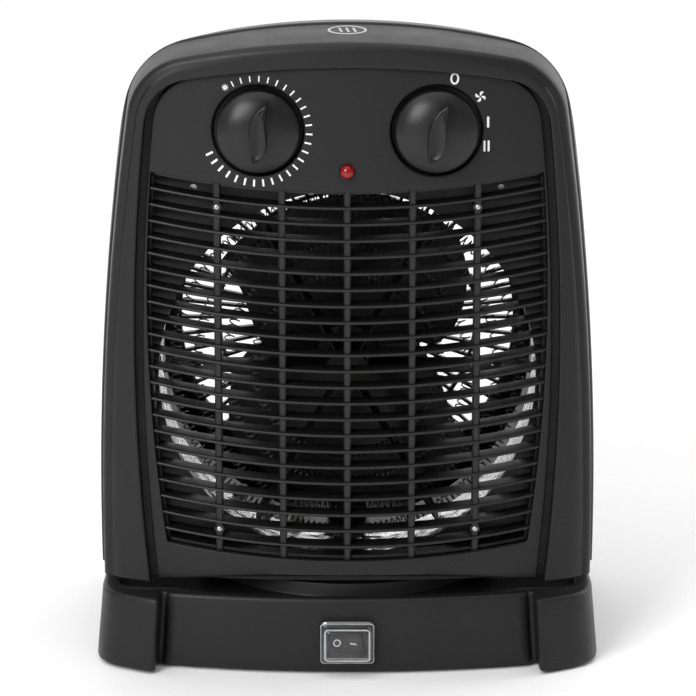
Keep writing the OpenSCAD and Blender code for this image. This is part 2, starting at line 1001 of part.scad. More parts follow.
module motor_bearings() color([0.75, 0.6, 0.35]) {
  at([0, fan_z])
    for (y = [motor_y - 5, motor_y + stack_len + 0.6])
      pipe(5, shaft_r + shaft_fit, y, y + 3.8);
}

module motor_bolts() color(steel) {
  at([0, fan_z])
    for (s = [-1, 1])
      at([s * motor_bolt_x, 0]) {
        screw_y(duct_rear, motor_y + stack_len + 7, 1.5, 3, 2);
        pipe(3, 1.5, motor_y + stack_len + 3.6, motor_y + stack_len + 6);
      }
}

module impeller() color(dark) {
  blade_half_angle = 48;
  blade_root = 27;
  at([0, fan_z])
    difference() {
      union() {
        rod(13, -8, 7);
        intersection() {
          for (a = [0, 180])
            rotate([0, a, 0])
              rotate([0, 0, blade_pitch])
                slab(-0.8, 0.8)
                  polygon(concat(
                    [[blade_root, 2]],
                    arc([0, 0], blade_r + 4, 90 - blade_half_angle, 90 + blade_half_angle, 12),
                    [[-blade_root, 2]]
                  ));
          rod(blade_r, -20, 20);
        }
      }
      rod(shaft_r, -20, 20);
    }
}

module impeller_nut() color(steel) {
  at([0, fan_z])
    pipe(4, shaft_r, -11, -8);
}

module fan_shaft() color(steel) {
  at([0, fan_z])
    rod(shaft_r, -13, motor_y + stack_len + 7);
}

module motor_rotor() color(steel) {
  at([0, fan_z])
    pipe(rotor_r, shaft_r, motor_y + 0.4, motor_y + stack_len - 0.4);
}

// ---- controls ---------------------------------------------------------------

module control_bracket() color(steel) {
  difference() {
    union() {
      at([0, 224])
        block([124, control_t, 32], [0, control_y + control_t / 2, 0]);
      at([0, pilot_z])
        block([16, control_t, 14], [0, control_y + control_t / 2, 2]);
    }
    at_both([[knob_x, knob_z]])
      rod(4.6, -80, 0);
    at([0, pilot_z])
      rod(2.6, -80, 0);
    for (p = control_screw_xz)
      at(p)
        rod(1.5, -80, 0);
  }
}

module control_screws() color(steel) {
  for (p = control_screw_xz)
    at(p)
      screw_y(control_y + control_t, screw_tip(p), 1.1, 2.6, 1.6);
}

module switch_can(x, size, depth) {
  back = control_y + control_t;
  at([x, knob_z])
    difference() {
      union() {
        block([size, depth, size], [0, back + depth / 2, 0]);
        rod(4.5, recess_floor + cup_t + 0.2, back);
        for (dx = [-8, 0, 8])
          block([4.8, 8, 0.8], [dx, back + depth + 4, -6]);
      }
      rod(control_shaft_r + shaft_fit, -80, back + depth - 3);
    }
}

module thermostat_body() color([0.85, 0.8, 0.7]) {
  switch_can(-knob_x, 30, 12);
}

module selector_body() color([0.85, 0.8, 0.7]) {
  switch_can(knob_x, 32, 16);
}

module control_nuts() color(steel) {
  at_both([[knob_x, knob_z]])
    difference() {
      slab(recess_floor + cup_t + 0.3, control_y)
        circle(6.5, $fn = 6);
      rod(4.5, -80, 0);
    }
}

module control_shaft(x) {
  at([x, knob_z])
    rod(control_shaft_r, knob_front + 2, -50);
}

// Round cap with a leaf-shaped grip, turned to its resting mark
module knob(x, turn) {
  leaf_r = (grip_length * grip_length + grip_w * grip_w) / (4 * grip_w);
  at([x, knob_z])
    rotate([0, turn, 0])
      difference() {
        union() {
          rod(knob_r, knob_front, knob_back);
          slab(grip_front, knob_front + 1)
            intersection() {
              translate([leaf_r - grip_w / 2, 0])
                circle(leaf_r);
              translate([grip_w / 2 - leaf_r, 0])
                circle(leaf_r);
            }
        }
        rod(control_shaft_r, knob_front + 2, 0);
        pipe(knob_r - 2, 6, knob_front + 2, 0);
      }
}

module thermostat_shaft() color(steel) {
  control_shaft(-knob_x);
}

module thermostat_knob() color(black) {
  knob(-knob_x, thermostat_rest);
}

module selector_shaft() color(steel) {
  control_shaft(knob_x);
}

module selector_knob() color(black) {
  knob(knob_x, selector_rest);
}

module pilot_lens() color([0.7, 0.05, 0.05]) {
  dome_r = 3.3;
  at([0, pilot_z])
    difference() {
      union() {
        rod(pilot_r, -panel_front - 0.5, -63);
        translate([0, -panel_front - 0.5, 0])
          intersection() {
            sphere(pilot_r);
            rod(pilot_r, -dome_r, 0);
          }
      }
      rod(1.9, -panel_front + 1, -60);
    }
}

module pilot_lamp() color([0.9, 0.5, 0.3]) {
  at([0, pilot_z])
    rod(1.8, -66, -46);
}

base_shell();
base_plate();
rubber_feet();
base_screws();
cord_inlet_bush();
rocker_switch_body();
switch_boot();
rocker();
oscillation_motor();
oscillation_motor_screws();
oscillation_crank();
glide_washer();
terminal_block();
tilt_switch();
swivel_plate();
retaining_ring();
swing_arm();
retaining_screws();
front_frame();
front_panel();
outlet_grille();
grille_screws();
rear_shell();
rear_grille();
case_screws();
duct_plate();
duct_plate_screws();
reflector_ring();
mica_boards();
heating_coil_low();
heating_coil_high();
ceramic_bushes();
thermal_cutout();
thermal_fuse();
motor_bridge();
motor_stator();
motor_coil();
motor_brackets();
motor_bearings();
motor_bolts();
impeller();
fan_shaft();
motor_rotor();
impeller_nut();
control_bracket();
control_screws();
thermostat_body();
selector_body();
control_nuts();
thermostat_shaft();
thermostat_knob();
selector_shaft();
selector_knob();
pilot_lens();
pilot_lamp();
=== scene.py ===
"""Looks of an oscillating fan heater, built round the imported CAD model.

Lengths are in millimetres in the shape functions and become metres in finish_mesh().
Outlines of the housing are lists of (x, z), and those of the base are lists of (x, y).
"""

import json
import math

import bmesh
import bpy
from mathutils import Matrix, Vector
from mathutils.geometry import delaunay_2d_cdt


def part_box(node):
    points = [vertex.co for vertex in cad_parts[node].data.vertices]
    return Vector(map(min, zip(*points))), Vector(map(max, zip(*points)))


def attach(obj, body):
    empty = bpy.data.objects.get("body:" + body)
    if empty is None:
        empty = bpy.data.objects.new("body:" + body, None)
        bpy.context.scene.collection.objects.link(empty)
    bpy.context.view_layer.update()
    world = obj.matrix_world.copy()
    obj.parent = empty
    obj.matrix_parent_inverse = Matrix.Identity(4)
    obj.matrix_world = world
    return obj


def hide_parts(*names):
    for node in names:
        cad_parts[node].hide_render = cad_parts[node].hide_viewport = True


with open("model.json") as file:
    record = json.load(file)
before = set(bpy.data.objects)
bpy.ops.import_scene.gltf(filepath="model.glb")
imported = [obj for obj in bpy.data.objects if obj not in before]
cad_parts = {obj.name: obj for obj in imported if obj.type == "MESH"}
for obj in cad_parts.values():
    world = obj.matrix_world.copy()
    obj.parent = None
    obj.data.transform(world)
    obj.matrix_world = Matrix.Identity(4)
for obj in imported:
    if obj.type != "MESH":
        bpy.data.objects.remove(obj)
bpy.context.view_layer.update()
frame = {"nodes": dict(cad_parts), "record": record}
MM = 0.001
SLOT_OF = {p["node"]: p["material_slot"] for p in frame["record"]["subparts"]}
BODY_OF = {node: body for body, nodes in frame["record"]["behaviour"]["bodies"].items() for node in nodes}


# ---- materials --------------------------------------------------------------

PATCHES_PER_METRE, BLOTCHES_PER_METRE = 22, 90


def new_material(name):
    mat = bpy.data.materials.new(name)
    mat.use_nodes = True
    nodes = mat.node_tree.nodes
    shader = nodes["Principled BSDF"]
    coords = nodes.new("ShaderNodeTexCoord")
    return mat, nodes, mat.node_tree.links, shader, coords.outputs["Object"]


def noise(nodes, links, coords, per_metre, detail=2.0, stretch=None):
    tex = nodes.new("ShaderNodeTexNoise")
    tex.inputs["Scale"].default_value = per_metre
    tex.inputs["Detail"].default_value = detail
    if stretch:
        mapping = nodes.new("ShaderNodeMapping")
        mapping.inputs["Scale"].default_value = stretch
        links.new(coords, mapping.inputs["Vector"])
        coords = mapping.outputs["Vector"]
    links.new(coords, tex.inputs["Vector"])
    return tex.outputs["Fac"]


def spread(nodes, links, value, low, high):
    """value, which runs from about 0.3 to 0.7, mapped to low..high."""
    rng = nodes.new("ShaderNodeMapRange")
    rng.inputs["From Min"].default_value = 0.3
    rng.inputs["From Max"].default_value = 0.7
    rng.inputs["To Min"].default_value = low
    rng.inputs["To Max"].default_value = high
    links.new(value, rng.inputs["Value"])
    return rng.outputs["Result"]


def bump(nodes, links, height, depth, normal=None):
    node = nodes.new("ShaderNodeBump")
    node.inputs["Distance"].default_value = depth
    links.new(height, node.inputs["Height"])
    if normal:
        links.new(normal, node.inputs["Normal"])
    return node.outputs["Normal"]


def rounded_edges(nodes, radius):
    node = nodes.new("ShaderNodeBevel")
    node.samples = 4
    node.inputs["Radius"].default_value = radius
    return node.outputs["Normal"]


def surface(name, colour, rough, rough_spread=0.06, grain=2500, grain_depth=0.00002, tint=0.12,
            metallic=0.0, specular=0.36, stretch=None, edge=0.0):
    """A moulded, painted or metal surface: fine grain, and slow changes of colour and gloss."""
    mat, nodes, links, shader, coords = new_material(name)
    mix = nodes.new("ShaderNodeMix")
    mix.data_type = "RGBA"
    mix.inputs["A"].default_value = (*[c * (1 - tint) for c in colour], 1)
    mix.inputs["B"].default_value = (*[min(1, c * (1 + tint)) for c in colour], 1)
    links.new(noise(nodes, links, coords, PATCHES_PER_METRE), mix.inputs["Factor"])
    links.new(mix.outputs["Result"], shader.inputs["Base Color"])
    blotch = noise(nodes, links, coords, BLOTCHES_PER_METRE, 3.0)
    gloss = spread(nodes, links, blotch, rough - rough_spread, rough + rough_spread)
    links.new(gloss, shader.inputs["Roughness"])
    fine = noise(nodes, links, coords, grain, stretch=stretch)
    normal = rounded_edges(nodes, edge) if edge else None
    links.new(bump(nodes, links, fine, grain_depth, normal), shader.inputs["Normal"])
    shader.inputs["Metallic"].default_value = metallic
    shader.inputs["Specular IOR Level"].default_value = specular
    return mat


def clear(name, colour, rough, ior, transmission=1.0):
    """A clear or tinted moulding with faint streaks."""
    mat, nodes, links, shader, coords = new_material(name)
    shader.inputs["Base Color"].default_value = (*colour, 1)
    shader.inputs["Transmission Weight"].default_value = transmission
    shader.inputs["IOR"].default_value = ior
    streaks = spread(nodes, links, noise(nodes, links, coords, 300), rough, rough + 0.08)
    links.new(streaks, shader.inputs["Roughness"])
    links.new(bump(nodes, links, noise(nodes, links, coords, 700), 0.00003), shader.inputs["Normal"])
    return mat


MATS = {
    "body_plastic": surface("moulded_black", (0.0088, 0.009, 0.0097), 0.43, 0.04, 3200, 0.000022,
                            specular=0.3, edge=0.0003),
    "grille_plastic": surface("grille_black", (0.0075, 0.0075, 0.008), 0.38, 0.05, 2600, 0.000015,
                              specular=0.42),
    "knob_plastic": surface("knob_black", (0.0085, 0.0087, 0.0093), 0.34, 0.05, 3000, 0.00001),
    "switch_plastic": surface("switch_black", (0.034, 0.034, 0.036), 0.3, 0.04, 2000, 0.000006, edge=0.0002),
    "clear_vinyl": clear("clear_vinyl", (0.98, 0.98, 0.99), 0.02, 1.42),
    "rubber": surface("rubber", (0.014, 0.014, 0.014), 0.75, 0.08, 1800, 0.00003),
    "steel": surface("zinc_plate", (0.5, 0.51, 0.53), 0.33, 0.1, 900, 0.00001, 0.15, 1.0),
    "black_steel": surface("black_paint", (0.011, 0.011, 0.012), 0.38, 0.06, 1400, 0.00001),
    "reflector_foil": surface("foil", (0.93, 0.93, 0.95), 0.24, 0.08, 110, 0.0016, 0.12, 1.0),
    "mica": surface("mica", (0.02, 0.018, 0.015), 0.6, 0.12, 350, 0.0001, 0.25, stretch=(1, 1, 0.2)),
    "heating_wire": surface("wire", (0.2, 0.19, 0.18), 0.42, 0.1, 1500, 0.00001, 0.3, 1.0),
    "ceramic": surface("ceramic", (0.72, 0.69, 0.62), 0.6, 0.08, 1200),
    "white_nylon": surface("nylon", (0.68, 0.67, 0.62), 0.4, 0.05, 1500, 0.00001),
    "laminations": surface("laminations", (0.22, 0.22, 0.23), 0.5, 0.1, 700, 0.00012, 0.2, 0.8,
                           stretch=(0.1, 12, 0.1)),
    "winding": surface("winding", (0.3, 0.1, 0.035), 0.38, 0.08, 900, 0.00012, 0.2, 0.7,
                       stretch=(0.2, 0.2, 8)),
    "bronze": surface("bronze", (0.42, 0.27, 0.1), 0.45, 0.08, 1500, 0.00002, 0.2, 1.0),
    "fan_metal": surface("fan_paint", (0.004, 0.004, 0.0043), 0.42, 0.08, 800, 0.00001),
    "phenolic": surface("phenolic", (0.33, 0.25, 0.15), 0.5, 0.08, 900, 0.00003, 0.2),
    "red_lens": clear("red_lens", (0.4, 0.004, 0.005), 0.03, 1.49, 0.45),
    "neon_lamp": clear("lamp_glass", (0.9, 0.75, 0.65), 0.05, 1.45),
}
PRINT = surface("white_print", (0.8, 0.8, 0.8), 0.6, 0.05, 2500, 0.00001, 0.05)
PRINT_GREY = surface("symbol_print", (0.5, 0.5, 0.5), 0.5, 0.05, 2500, 0.00001, 0.05)
# A paler, mostly cloudy copy of the clear vinyl, laid along the hood's edges as a painted highlight.
HIGHLIGHT_BEAD = clear("vinyl_edge_painted_highlight", (0.95, 0.96, 0.97), 0.12, 1.46, 0.25)
BLACKENED = ("duct_plate_screws", "retaining_screws")


def paint_nodes():
    for name, obj in frame["nodes"].items():
        obj.data.materials.clear()
        obj.data.materials.append(MATS["black_steel" if name in BLACKENED else SLOT_OF[name]])
        smooth_by_angle(obj, 32)


# ---- outlines ---------------------------------------------------------------


def angles(*degrees):
    return [math.radians(d) for d in degrees]


def arc(centre, r, a0, a1, n):
    turns = [a0 + (a1 - a0) * i / n for i in range(n + 1)]
    return [(centre[0] + r * math.cos(a), centre[1] + r * math.sin(a)) for a in turns]


def circle(centre, r, n=72):
    turns = [2 * math.pi * i / n for i in range(n)]
    return [(centre[0] + r * math.cos(a), centre[1] + r * math.sin(a)) for a in turns]


def rounded_rect(half_w, half_h, r, centre, n=6):
    out = []
    for sx, sz, start in ((1, 1, 0), (-1, 1, 90), (-1, -1, 180), (1, -1, 270)):
        corner = (centre[0] + sx * (half_w - r), centre[1] + sz * (half_h - r))
        out += arc(corner, r, *angles(start, start + 90), n)
    return out


def rectangle(x0, x1, z0, z1):
    return [(x0, z0), (x1, z0), (x1, z1), (x0, z1)]


def whole(half):
    """A right half and its mirror image."""
    return half + [(-x, z) for x, z in reversed(half) if x > 0.01]


def turned(points, centre, degrees):
    """Points about the origin, turned clockwise as seen from the front and moved to centre."""
    c, s = math.cos(math.radians(degrees)), math.sin(math.radians(degrees))
    return [(centre[0] + x * c + z * s, centre[1] - x * s + z * c) for x, z in points]


def through(points, t):
    """Catmull-Rom curve through the points, with t from 0 to 1."""
    n = len(points) - 1
    k = min(int(t * n), n - 1)
    f = t * n - k
    p = [Vector(points[min(max(k + d, 0), n)]) for d in (-1, 0, 1, 2)]
    return 0.5 * (2 * p[1] + (p[2] - p[0]) * f + (2 * p[0] - 5 * p[1] + 4 * p[2] - p[3]) * f * f
                  + (3 * p[1] - p[0] - 3 * p[2] + p[3]) * f ** 3)


def area(loop):
    return sum(a[0] * b[1] - b[0] * a[1] for a, b in zip(loop, loop[1:] + loop[:1])) / 2


def shrink(loop, d):
    """A closed outline moved inwards by d, corner by corner; outwards where d is negative."""
    side = 1 if area(loop) > 0 else -1
    sharpest = 0.35
    out = []
    for i in range(len(loop)):
        a, b, c = Vector(loop[i - 1]), Vector(loop[i]), Vector(loop[(i + 1) % len(loop)])
        u, v = (b - a).normalized(), (c - b).normalized()
        across = Vector((-u.y, u.x))
        m = (across + Vector((-v.y, v.x))).normalized()
        out.append(tuple(b + m * side * d / max(sharpest, m.dot(across))))
    return out


def inside(p, loop):
    x, z = p
    hit = False
    for (x0, z0), (x1, z1) in zip(loop, loop[1:] + loop[:1]):
        if (z0 > z) != (z1 > z) and x < (x1 - x0) * (z - z0) / (z1 - z0) + x0:
            hit = not hit
    return hit


def at_depth(loop, y):
    return [(x, y, z) for x, z in loop]


def at_height(loop, z):
    return [(x, y, z) for x, y in loop]


# ---- mesh helpers -----------------------------------------------------------


def smooth_by_angle(obj, degrees):
    for poly in obj.data.polygons:
        poly.use_smooth = True
    obj.data.set_sharp_from_angle(angle=math.radians(degrees))


def finish_mesh(name, bm, node, mat=None, replaces=(), angle=40):
    """Turns a bmesh in millimetres into a piece that rides with the body of that CAD node."""
    bmesh.ops.remove_doubles(bm, verts=bm.verts, dist=0.002)
    bmesh.ops.recalc_face_normals(bm, faces=bm.faces)
    bm.transform(Matrix.Scale(MM, 4))
    mesh = bpy.data.meshes.new(name)
    bm.to_mesh(mesh)
    bm.free()
    obj = bpy.data.objects.new(name, mesh)
    bpy.context.scene.collection.objects.link(obj)
    obj.data.materials.append(mat or MATS[SLOT_OF[node]])
    smooth_by_angle(obj, angle)
    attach(obj, BODY_OF[node])
    if replaces:
        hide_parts(*replaces)


def bridge(bm, a, b, closed=False):
    """Quads between two rows of vertices."""
    for i in range(len(a) if closed else len(a) - 1):
        j = (i + 1) % len(a)
        bm.faces.new((a[i], a[j], b[j], b[i]))


def add_grid(bm, rows, closed=False):
    """Quads between rows of points of equal length."""
    verts = [[bm.verts.new(p) for p in row] for row in rows]
    for a, b in zip(verts, verts[1:]):
        bridge(bm, a, b, closed)
    return verts


def add_prism(bm, rows):
    """A closed grid with a face over both ends."""
    verts = add_grid(bm, rows, closed=True)
    bm.faces.new(verts[0])
    bm.faces.new(list(reversed(verts[-1])))


def add_capped(bm, rows):
    """A closed grid with a face over its last row only: a low raised shape, or a blind hole."""
    bm.faces.new(add_grid(bm, rows, closed=True)[-1])


def add_turning(bm, profile, centre, steps=96):
    """Turns (radius, y) points about an axis along Y through centre (x, z)."""
    add_grid(bm, [at_depth(circle(centre, r, steps), y) for r, y in profile], closed=True)


def add_sheet(bm, outer, holes, lift, pitch=4.0):
    """Triangles over a flat outline with holes, each corner lifted to its place by lift()."""
    loops = [outer] + holes
    points, edges = [], []
    for loop in loops:
        first = len(points)
        points += [Vector(p) for p in loop]
        edges += [(first + i, first + (i + 1) % len(loop)) for i in range(len(loop))]

    def within(p):
        return inside(p, outer) and not any(inside(p, h) for h in holes)

    def apart(p):
        gap = (0.5 * pitch) ** 2
        return all((p[0] - q[0]) ** 2 + (p[1] - q[1]) ** 2 > gap for loop in loops for q in loop)

    xs, zs = [p[0] for p in outer], [p[1] for p in outer]
    x = min(xs) + pitch
    while x < max(xs):
        z = min(zs) + pitch
        while z < max(zs):
            if apart((x, z)) and within((x, z)):
                points.append(Vector((x, z)))
            z += pitch
        x += pitch
    flat, _, faces = delaunay_2d_cdt(points, edges, [], 0, 1e-5)[:3]
    verts = [bm.verts.new(lift(*p)) for p in flat]
    for face in faces:
        if within(sum((flat[i] for i in face), Vector((0, 0))) / len(face)):
            bm.faces.new([verts[i] for i in face])


# ---- outlines of the housing ------------------------------------------------

HALF_W, FRAME_TOP, FLOOR_Z = 99.6, 259.8, 36.0
SIDE_R, SIDE_Z, CROWN_R, SHOULDER_R = 1230.0, 55.0, 300.0, 27.0
FRONT_GROWTH = [(-76, -1.4), (-57, 0), (-30, 1.9)]
# Depth, growth of the outline, fall of its crown and added shoulder radius
REAR_SECTIONS = [(-36, 2.1, 0.1, 2), (-33, 2.6, 0.6, 5), (-12, 3.9, 4.7, 18), (10, 3.5, 7.4, 28),
                 (28, 1.2, 8.9, 30), (41, -2.6, 9.4, 26), (50, -8, 8.5, 20), (55, -14, 6, 12),
                 (58, -22, 2.4, 4)]
SPLIT_Y, SEAM_R = -36.0, 0.5
PANEL_FRONT, BULGE_R, FRAME_PROUD, FRAME_BULGE_R = 68.0, 340.0, 2.5, 430.0
PILLAR_X, PILLAR_BEND = 75.0, 0.0072
WINDOW_HALF_W, WINDOW_TOP, FASCIA_HALF_W, FASCIA_TOP = 85.5, 249.0, 82.5, 249.2
WINDOW_SIDE_R, WINDOW_SIDE_Z, WINDOW_CROWN_R, WINDOW_CORNER_R = 880, 130, 370, 20


def arched(half_w, mid_z, r_side, top, r_top, r_corner, bottom, steps=(26, 14, 18)):
    """Right half of an arched outline: a side, a corner and half the top, each an arc."""
    side, crown = Vector((half_w - r_side, mid_z)), Vector((0, top - r_top))
    r1, r2 = r_side - r_corner, r_top - r_corner
    apart = crown - side
    d = apart.length
    u = apart / d
    a = (d * d + r1 * r1 - r2 * r2) / (2 * d)
    up = Vector((-u.y, u.x)) * (1 if u.x > 0 else -1)
    k = side + u * a + up * math.sqrt(r1 * r1 - a * a)
    a0 = math.asin((bottom - mid_z) / r_side)
    a1 = math.atan2(k.y - side.y, k.x - side.x)
    a2 = math.atan2(k.y - crown.y, k.x - crown.x)
    return (arc(side, r_side, a0, a1, steps[0]) + arc(k, r_corner, a1, a2, steps[1])[1:]
            + arc(crown, r_top, a2, math.pi / 2, steps[2])[1:])


def housing_outline(g, fall=0, soft=0):
    top, crown, corner = FRAME_TOP + g - fall, CROWN_R + g - fall, SHOULDER_R + g / 2 + soft
    return whole(arched(HALF_W + g, SIDE_Z, SIDE_R + g, top, crown, corner, FLOOR_Z))


def window_like(half_w, top):
    return whole(arched(half_w, WINDOW_SIDE_Z, WINDOW_SIDE_R, top, WINDOW_CROWN_R, WINDOW_CORNER_R, FLOOR_Z))


def window_outline(g):
    return window_like(WINDOW_HALF_W + g, WINDOW_TOP + g / 3)


def bulge(x):
    return BULGE_R - math.sqrt(BULGE_R * BULGE_R - x * x)


def panel_y(x):
    return bulge(x) - PANEL_FRONT


def on_panel(loop, back):
    return [(x, panel_y(x) + back, z) for x, z in loop]


def frame_y(x):
    bend = PILLAR_BEND * max(0, abs(x) - PILLAR_X) ** 2
    return x * x / (2 * FRAME_BULGE_R) + bend - PANEL_FRONT - FRAME_PROUD


def on_frame(loop, back):
    return [(x, frame_y(x) + back, z) for x, z in loop]


def between(table, y):
    for (y0, g0), (y1, g1) in zip(table, table[1:]):
        if y <= y1:
            return g0 + (g1 - g0) * (y - y0) / (y1 - y0)
    return table[-1][1]


# ---- front frame ------------------------------------------------------------

FRAME_EDGE_R, FRAME_LIP_R, FRAME_WALL, FRAME_FACE_T = 3.2, 1.1, 2.3, 3.6
GROOVE_FLOOR, FLANGE_W, FLANGE_T = -54.0, 3.6, 1.8


def frame_row(inset, y_of):
    """Points of the outside wall, moved in by inset, at a depth that may follow the face."""
    row = []
    for i, (flat_x, _) in enumerate(housing_outline(0)):
        y = y_of(flat_x)
        x, z = housing_outline(between(FRONT_GROWTH, y) - inset)[i]
        row.append((x, y, z))
    return row


def frame_outside():
    """From the seam with the rear shell to the rounded edge of the face."""
    rows = [frame_row(SEAM_R, lambda x: SPLIT_Y - 0.1), frame_row(0, lambda x: SPLIT_Y - SEAM_R)]
    rows += [frame_row(0, lambda x, y=y: y) for y in (-42, -48)]
    for a in angles(*range(0, 91, 15)):
        inset, back = FRAME_EDGE_R * (1 - math.cos(a)), FRAME_EDGE_R * (1 - math.sin(a))
        rows.append(frame_row(inset, lambda x, back=back: frame_y(x) + back))
    return rows


def frame_face(outer, inner):
    rows = []
    for s in (0.2, 0.4, 0.6, 0.8, 1.0):
        flat = [(x0 + (x1 - x0) * s, z0 + (z1 - z0) * s) for (x0, _, z0), (x1, z1) in zip(outer, inner)]
        rows.append(on_frame(flat, 0))
    return rows


def frame_window():
    """The rounded lip, the groove beside the fascia, and the flange behind it."""
    rows = []
    for a in angles(22.5, 45, 67.5, 90):
        inset, back = FRAME_LIP_R * (1 - math.sin(a)), FRAME_LIP_R * (1 - math.cos(a))
        rows.append(on_frame(window_outline(inset), back))
    back = GROOVE_FLOOR + FLANGE_T
    rows += [at_depth(window_outline(g), y)
             for g, y in ((0, GROOVE_FLOOR), (-FLANGE_W, GROOVE_FLOOR), (-FLANGE_W, back), (2.2, back))]
    return rows


def build_front_frame():
    outside = frame_outside()
    face = frame_face(outside[-1], window_outline(FRAME_LIP_R))
    within = [
        on_frame(window_outline(3.2), FRAME_FACE_T),
        frame_row(FRAME_EDGE_R + 1.2, lambda x: frame_y(x) + FRAME_FACE_T - 0.2),
        frame_row(FRAME_WALL, lambda x: frame_y(x) + 7),
        frame_row(FRAME_WALL, lambda x: SPLIT_Y - 0.1),
    ]
    bm = bmesh.new()
    verts = add_grid(bm, outside + face + frame_window() + within)
    bridge(bm, verts[-1], verts[0])
    for i in (0, -1):
        bm.faces.new([row[i] for row in verts])
    finish_mesh("front_frame_skin", bm, "front_frame", replaces=["front_frame"])


# ---- outlet grille ----------------------------------------------------------

OUTLET_HALF_W, OUTLET_SIDE_R, OUTLET_Z, SMILE_R = 80.4, 700.0, 150.0, 470.0
OUTLET_BOTTOM, OUTLET_TOP, OUTLET_LOW_X, OUTLET_HIGH_X = 46.0, 199.0, 73.2, 78.2
BAR_TOP, BAR_BOTTOM, BAR_COUNT, GRILLE_BACK = 192.2, 51.6, 22, 10.6
RIB_XS, RIB_HALF_W, RIB_BACK = (-52, -26, 0, 26, 52), 1.45, 2.2
SCREW_XZ = ((-52, 191.8), (52, 191.8), (-52, 57.9), (52, 57.9))
BOSS_R, BOSS_TIP, HEAD_R = 2.1, -44, 1.25


def smile(x, z):
    return z + SMILE_R - math.sqrt(SMILE_R * SMILE_R - x * x)


def outlet_side(z):
    return OUTLET_HALF_W - OUTLET_SIDE_R + math.sqrt(OUTLET_SIDE_R ** 2 - (z - OUTLET_Z) ** 2)


def bar_section():
    """Bar in cross-section as (setback, height): a rounded nose, and a body that thins out."""
    nose, setback = 0.62, 0.8
    turns = angles(-90, -55, -20, 20, 55, 90)
    front = [(setback + nose * (1 - math.cos(a)), nose * math.sin(a)) for a in turns]
    return front + [(GRILLE_BACK, 0.5), (GRILLE_BACK, -0.5)]


def add_bar(bm, z):
    reach = outlet_side(smile(78, z)) - 0.1
    xs = [reach * i / 28 for i in range(-28, 29)]
    add_prism(bm, [[(x, panel_y(x) + back, smile(x, z) + up) for back, up in bar_section()] for x in xs])


def add_rib(bm, x0):
    half, soft, back = RIB_HALF_W, 0.5, GRILLE_BACK + 0.1
    section = [(-half, back), (-half, RIB_BACK + soft), (-half + soft, RIB_BACK),
               (half - soft, RIB_BACK), (half, RIB_BACK + soft), (half, back)]
    ends = (smile(x0, OUTLET_BOTTOM) - 0.1, smile(x0, OUTLET_TOP) + 0.1)
    add_prism(bm, [[(x0 + dx, panel_y(x0) + dy, z) for dx, dy in section] for z in ends])


def outlet_loop(g, n=18):
    xs = [OUTLET_LOW_X * i / n for i in range(n + 1)]
    low = [(x, smile(x, OUTLET_BOTTOM) - g) for x in xs]
    side = [(outlet_side(z) + g, z) for z in range(53, 204, 6)]
    xs = [OUTLET_HIGH_X * i / n for i in range(n, -1, -1)]
    return whole(low + side + [(x, smile(x, OUTLET_TOP) + g) for x in xs])


def build_screw_heads():
    """Small domed heads, each with a low raised cross, down among the bars."""
    bm = bmesh.new()
    for x, z in SCREW_XZ:
        y = panel_y(x) + 2.0
        dome = [(HEAD_R, y + 1.0), (HEAD_R, y + 0.5), (0.95, y + 0.16), (0.55, y + 0.02), (0.01, y)]
        add_turning(bm, dome, (x, z), 28)
        for w, h in ((0.16, 0.85), (0.85, 0.16)):
            stroke = rectangle(x - w, x + w, z - h, z + h)
            add_capped(bm, [at_depth(stroke, y + 0.3), at_depth(stroke, y - 0.05)])
    finish_mesh("grille_screw_heads", bm, "grille_screws", replaces=["grille_screws"])


def build_grille():
    bm = bmesh.new()
    pitch = (BAR_TOP - BAR_BOTTOM) / (BAR_COUNT - 1)
    for i in range(BAR_COUNT):
        add_bar(bm, BAR_BOTTOM + i * pitch)
    for x in RIB_XS:
        add_rib(bm, x)
    corners = ((3.6, -0.15), (3.6, -1.4), (GRILLE_BACK, -1.4), (GRILLE_BACK, -0.15))
    rim = [on_panel(outlet_loop(g), back) for back, g in corners]
    add_grid(bm, rim + [rim[0]], closed=True)
    for x, z in SCREW_XZ:
        y = panel_y(x) + 2.3
        boss = [(0.01, y), (BOSS_R - 0.2, y), (BOSS_R, y + 0.3), (BOSS_R, BOSS_TIP), (0.01, BOSS_TIP)]
        add_turning(bm, boss, (x, z), 32)
    finish_mesh("outlet_bars", bm, "outlet_grille", replaces=["outlet_grille"])


# ---- knobs ------------------------------------------------------------------

KNOB_X, KNOB_Z, KNOB_R, KNOB_FRONT, KNOB_BACK, KNOB_WALL = 35.2, 223.5, 16.4, -74.4, -62.4, 1.6
LEAF_TOP, LEAF_WAIST, LEAF_FOOT = -79.6, -76.5, -68.5
LEAF_LEFT = [(-1.9, -10.6), (-2.9, -7.4), (-3.1, -3.6), (-3.2, 1.2), (-2.2, 6.4), (-0.5, 9.2), (1.6, 11.2),
             (3.6, 12.3)]
LEAF_RIGHT = [(-1.9, -10.6), (0.8, -9.6), (2.6, -7.2), (3.4, -4.2), (3.4, -0.8), (3.0, 2.6), (2.9, 6),
              (3.2, 9.4), (3.6, 12.3)]


def dome_y(r):
    """Front of the knob's cap at that radius."""
    return KNOB_FRONT + 0.0085 * r * r + 0.000042 * r ** 4


